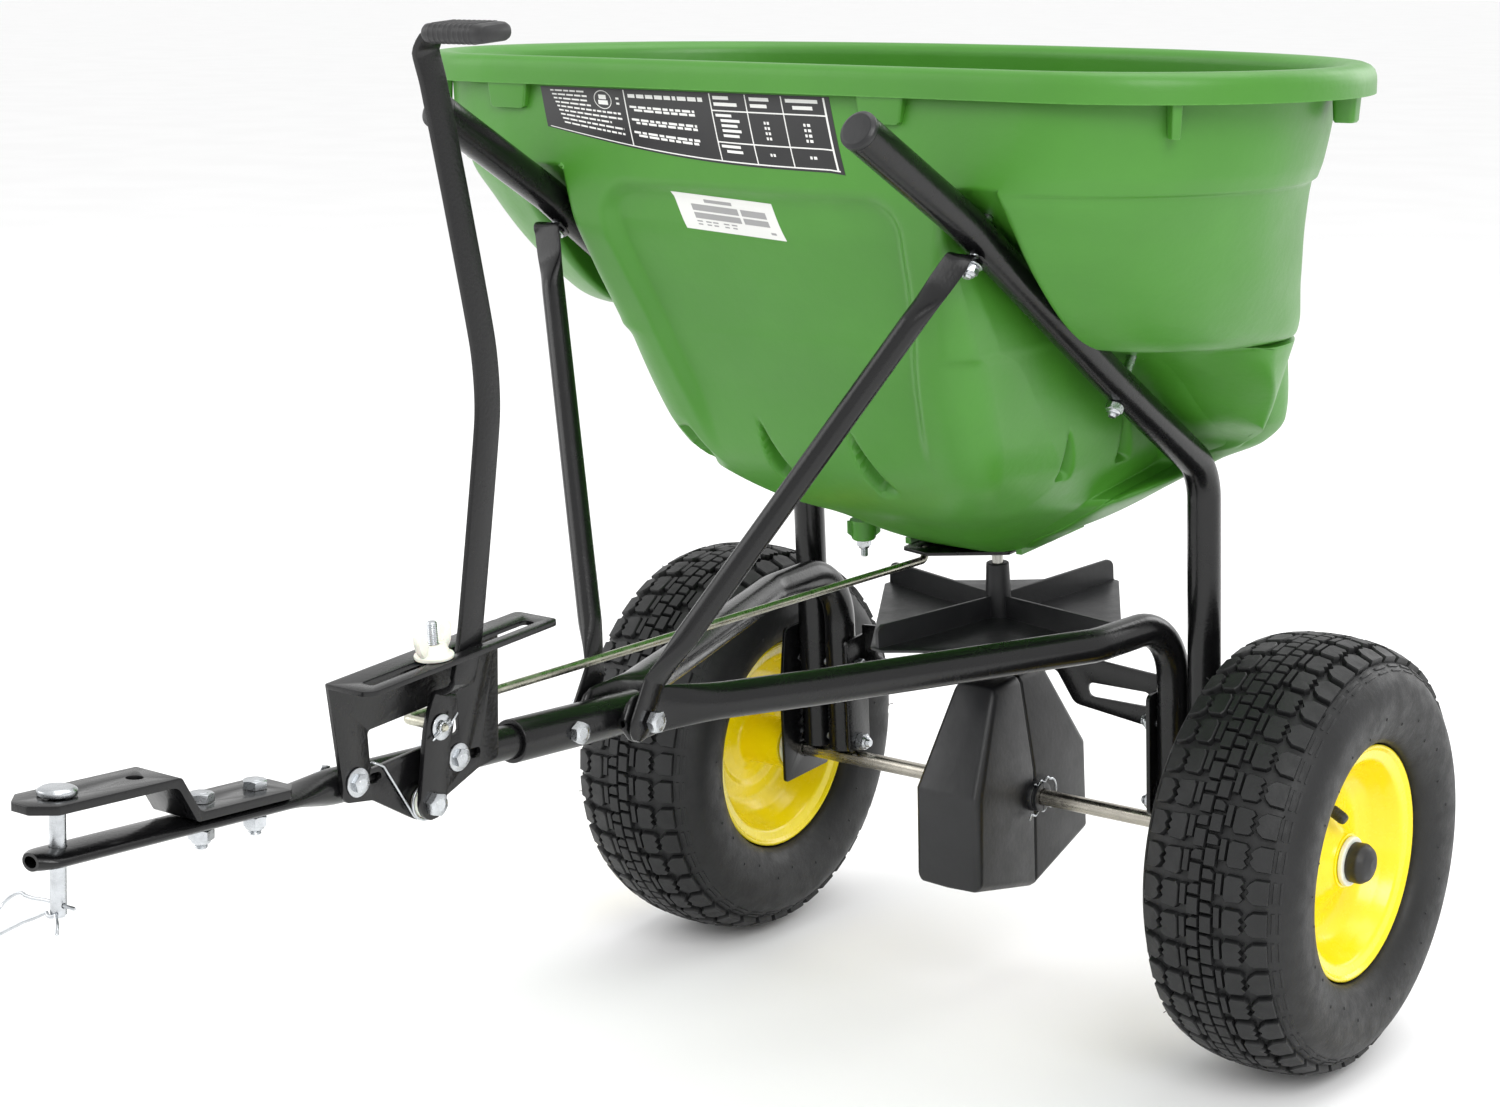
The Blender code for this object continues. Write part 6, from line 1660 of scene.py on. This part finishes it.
def decals(tree):
    left, right, high = -0.1715, 0.0774, 0.7265

    def bottom(u):
        return 0.6990 - 0.0220 * u - 0.0062 * math.sin(math.pi * min(u * 1.05, 1.0))

    def sheet(u):
        return left + (right - left) * u, bottom(u), high

    piece("guide_sheet", label_sheet(sheet, tree, 0.00002, 0.00016, 110, 10), LABEL_BLACK,
          "chassis", (), angle=60)
    marks = []

    def bar(u0, u1, v0, v1, columns=6, rows=1):
        def edge(t):
            u = u0 + (u1 - u0) * t
            low = bottom(u)
            return left + (right - left) * u, low + (high - low) * v0, low + (high - low) * v1

        marks.append(label_sheet(edge, tree, 0.00020, 0.00010, columns, rows))

    bar(0.012, 0.988, 0.030, 0.048, 60)
    bar(0.978, 0.984, 0.048, 0.985, 1, 6)
    for u in (0.300, 0.600, 0.720, 0.840):
        bar(u, u + 0.0035, 0.050, 0.985, 1, 6)
    for v in (0.740, 0.300):
        bar(0.602, 0.978, v, v + 0.018, 24)
    for row in range(9):
        v = 0.90 - 0.088 * row
        end = 0.28 if row % 3 else 0.24
        u = 0.035 + 0.004 * row
        while u < end:
            word = rng.uniform(0.010, 0.030)
            if not (0.178 < u + word and u < 0.262 and v > 0.60):
                bar(u, min(u + word, end), v, v + 0.034, 2)
            u += word + 0.0045
    for row, v in enumerate((0.860, 0.690, 0.640, 0.480, 0.430, 0.270, 0.220)):
        u, end = 0.315 + (0.014 if row in (2, 4, 6) else 0.0), 0.575 if row == 0 else 0.54
        tall = 0.060 if row == 0 else 0.036
        while u < end:
            word = rng.uniform(0.012, 0.034)
            bar(u, min(u + word, end), v, v + tall, 2)
            u += word + 0.006
    for u0, u1 in ((0.612, 0.665), (0.612, 0.690), (0.735, 0.800), (0.735, 0.790), (0.855, 0.960),
                   (0.875, 0.940)):
        v = 0.905 if (u0, u1) in ((0.612, 0.665), (0.735, 0.800), (0.855, 0.960)) else 0.815
        bar(u0, u1, v, v + 0.048, 4)
    for row, v in enumerate((0.665, 0.595, 0.525, 0.455, 0.385, 0.235, 0.165)):
        indent = 0.0 if row in (0, 5) else 0.014
        bar(0.612 + indent, 0.665 + indent + 0.01 * (row % 2), v, v + 0.038, 3)
        if row not in (0, 5):
            bar(0.770, 0.776, v, v + 0.038, 1)
            bar(0.780, 0.787, v, v + 0.038, 1)
            bar(0.900, 0.907, v, v + 0.038, 1)
            bar(0.912, 0.922, v, v + 0.038, 1)
    ring = []
    for k in range(33):
        a = math.tau * k / 32
        ring.append((0.222 + 0.030 * math.cos(a), 0.790 + 0.165 * math.sin(a)))
    for (u0, v0), (u1, v1) in zip(ring, ring[1:]):
        low = bottom(u0)
        x0, z0 = left + (right - left) * u0, low + (high - low) * v0
        x1, z1 = left + (right - left) * u1, low + (high - low) * v1
        marks.append(stroke(tree, (x0, z0), (x1, z1), 0.0005))
    bar(0.205, 0.239, 0.700, 0.780, 3)
    bar(0.209, 0.235, 0.800, 0.880, 3)
    piece("guide_marks", merge(*marks), LABEL_WHITE, "chassis", (), angle=60)
    tilt = -0.055

    def tag(u):
        x = -0.0800 + 0.082 * u
        middle = 0.6440 + tilt * 0.082 * (u - 0.5)
        return x, middle - 0.0125, middle + 0.0125

    piece("plate_sheet", label_sheet(tag, tree, 0.00002, 0.00018, 40, 8), LABEL_WHITE, "chassis",
          (), angle=60)
    inked = []

    def ink(u0, u1, v0, v1):
        def edge(t):
            u = u0 + (u1 - u0) * t
            x, low, top = tag(u)
            return x, low + (top - low) * v0, low + (top - low) * v1

        inked.append(label_sheet(edge, tree, 0.00022, 0.00010, 8, 1))

    ink(0.15, 0.62, 0.545, 0.720)
    ink(0.65, 0.90, 0.545, 0.720)
    ink(0.15, 0.62, 0.330, 0.490)
    ink(0.65, 0.90, 0.330, 0.490)
    ink(0.30, 0.58, 0.790, 0.880)
    for u in (0.15, 0.24, 0.31, 0.42, 0.50):
        ink(u, u + 0.055, 0.235, 0.270)
        ink(u, u + 0.045, 0.150, 0.185)
    ink(0.88, 0.93, 0.130, 0.190)
    piece("plate_marks", merge(*inked), LABEL_GREY, "chassis", (), angle=60)


def stroke(tree, start, end, wide):
    a, b = Vector(start), Vector(end)
    side = Vector((-(b - a).y, (b - a).x)).normalized() * wide / 2
    corners = [a - side, b - side, b + side, a + side]
    faces_front, faces_back = [], []
    for c in corners:
        x = c.x + LABEL_LEAN * (c.y - LABEL_LEAN_Z)
        hit, normal, _, _ = tree.ray_cast(Vector((x, -0.6, c.y)), Vector((0, 1, 0)))
        hit = hit or Vector((x, -0.34, c.y))
        if normal is None or normal.y > 0:
            normal = Vector((0, -1, 0))
        faces_front.append(hit + normal * 0.00030)
        faces_back.append(hit + normal * 0.00020)
    return loft([faces_back, faces_front])


# ---- build --------------------------------------------------------------------------------------------
for side, name, body in ((1, "left", "drive_axle"), (-1, "right", "idler_wheel")):
    wheel(side, name, body)
for side, name in ((1, "left"), (-1, "right")):
    leg(side, name)
    frame_tube(side, name)
    axle_plate(side, name)
    strut(side, name)
crossbar()
drive()
drawbar()
hitch()
bracket()
lever()
rate_stop()
control_rod()
gate()
hopper()


# ---- studio -------------------------------------------------------------------------------------------
def studio():
    mesh = bpy.data.meshes.new("studio_floor")
    reach = 40.0
    mesh.from_pydata([(-reach, -reach, 0), (reach, -reach, 0), (reach, reach, 0), (-reach, reach, 0)],
                     [], [(0, 1, 2, 3)])
    floor = bpy.data.objects.new("studio_floor", mesh)
    bpy.context.scene.collection.objects.link(floor)
    graph = Graph("studio_white")
    fleck = graph.noise(3.0, 2.0, 0.4)
    graph.link(graph.mix(graph.remap(fleck, 0.3, 0.7, 0.0, 1.0), (0.93, 0.93, 0.93),
                         (0.95, 0.95, 0.95)), graph.shader.inputs["Base Color"])
    graph.shader.inputs["Roughness"].default_value = 0.85
    mesh.materials.append(graph.material)


def area(name, place, target, size, power, colour=(1, 1, 1)):
    data = bpy.data.lights.new(name, "AREA")
    data.shape, data.size, data.energy, data.color = "DISK", size, power, colour
    lamp = bpy.data.objects.new(name, data)
    lamp.location = place
    look = (Vector(target) - Vector(place)).to_track_quat("-Z", "Y")
    lamp.rotation_euler = look.to_euler()
    bpy.context.scene.collection.objects.link(lamp)


studio()
area("key", (2.6, -2.0, 2.9), (0, 0.2, 0.4), 2.2, 74)
area("fill", (-2.8, -1.8, 1.9), (0, 0.2, 0.4), 2.6, 30)
area("top", (0.2, 0.8, 3.6), (0, 0.4, 0.4), 3.0, 44)
area("back", (0.8, 3.6, 1.8), (0, 0.4, 0.5), 2.4, 34)
world = bpy.data.worlds.new("studio_air")
world.use_nodes = True
world.node_tree.nodes["Background"].inputs["Color"].default_value = (1, 1, 1, 1)
world.node_tree.nodes["Background"].inputs["Strength"].default_value = 1.02
bpy.context.scene.world = world

lens = bpy.data.cameras.new("camera")
lens.lens, lens.sensor_width = 67.37, 36.0
camera = bpy.data.objects.new("camera", lens)
camera.location = (1.145, AXLE_Y - 1.831, 0.822)
camera.rotation_euler = (math.radians(90 - 12.206), math.radians(0.026), math.radians(37.368))
bpy.context.scene.collection.objects.link(camera)
bpy.context.scene.camera = camera
bpy.context.scene.view_settings.view_transform = "Standard"
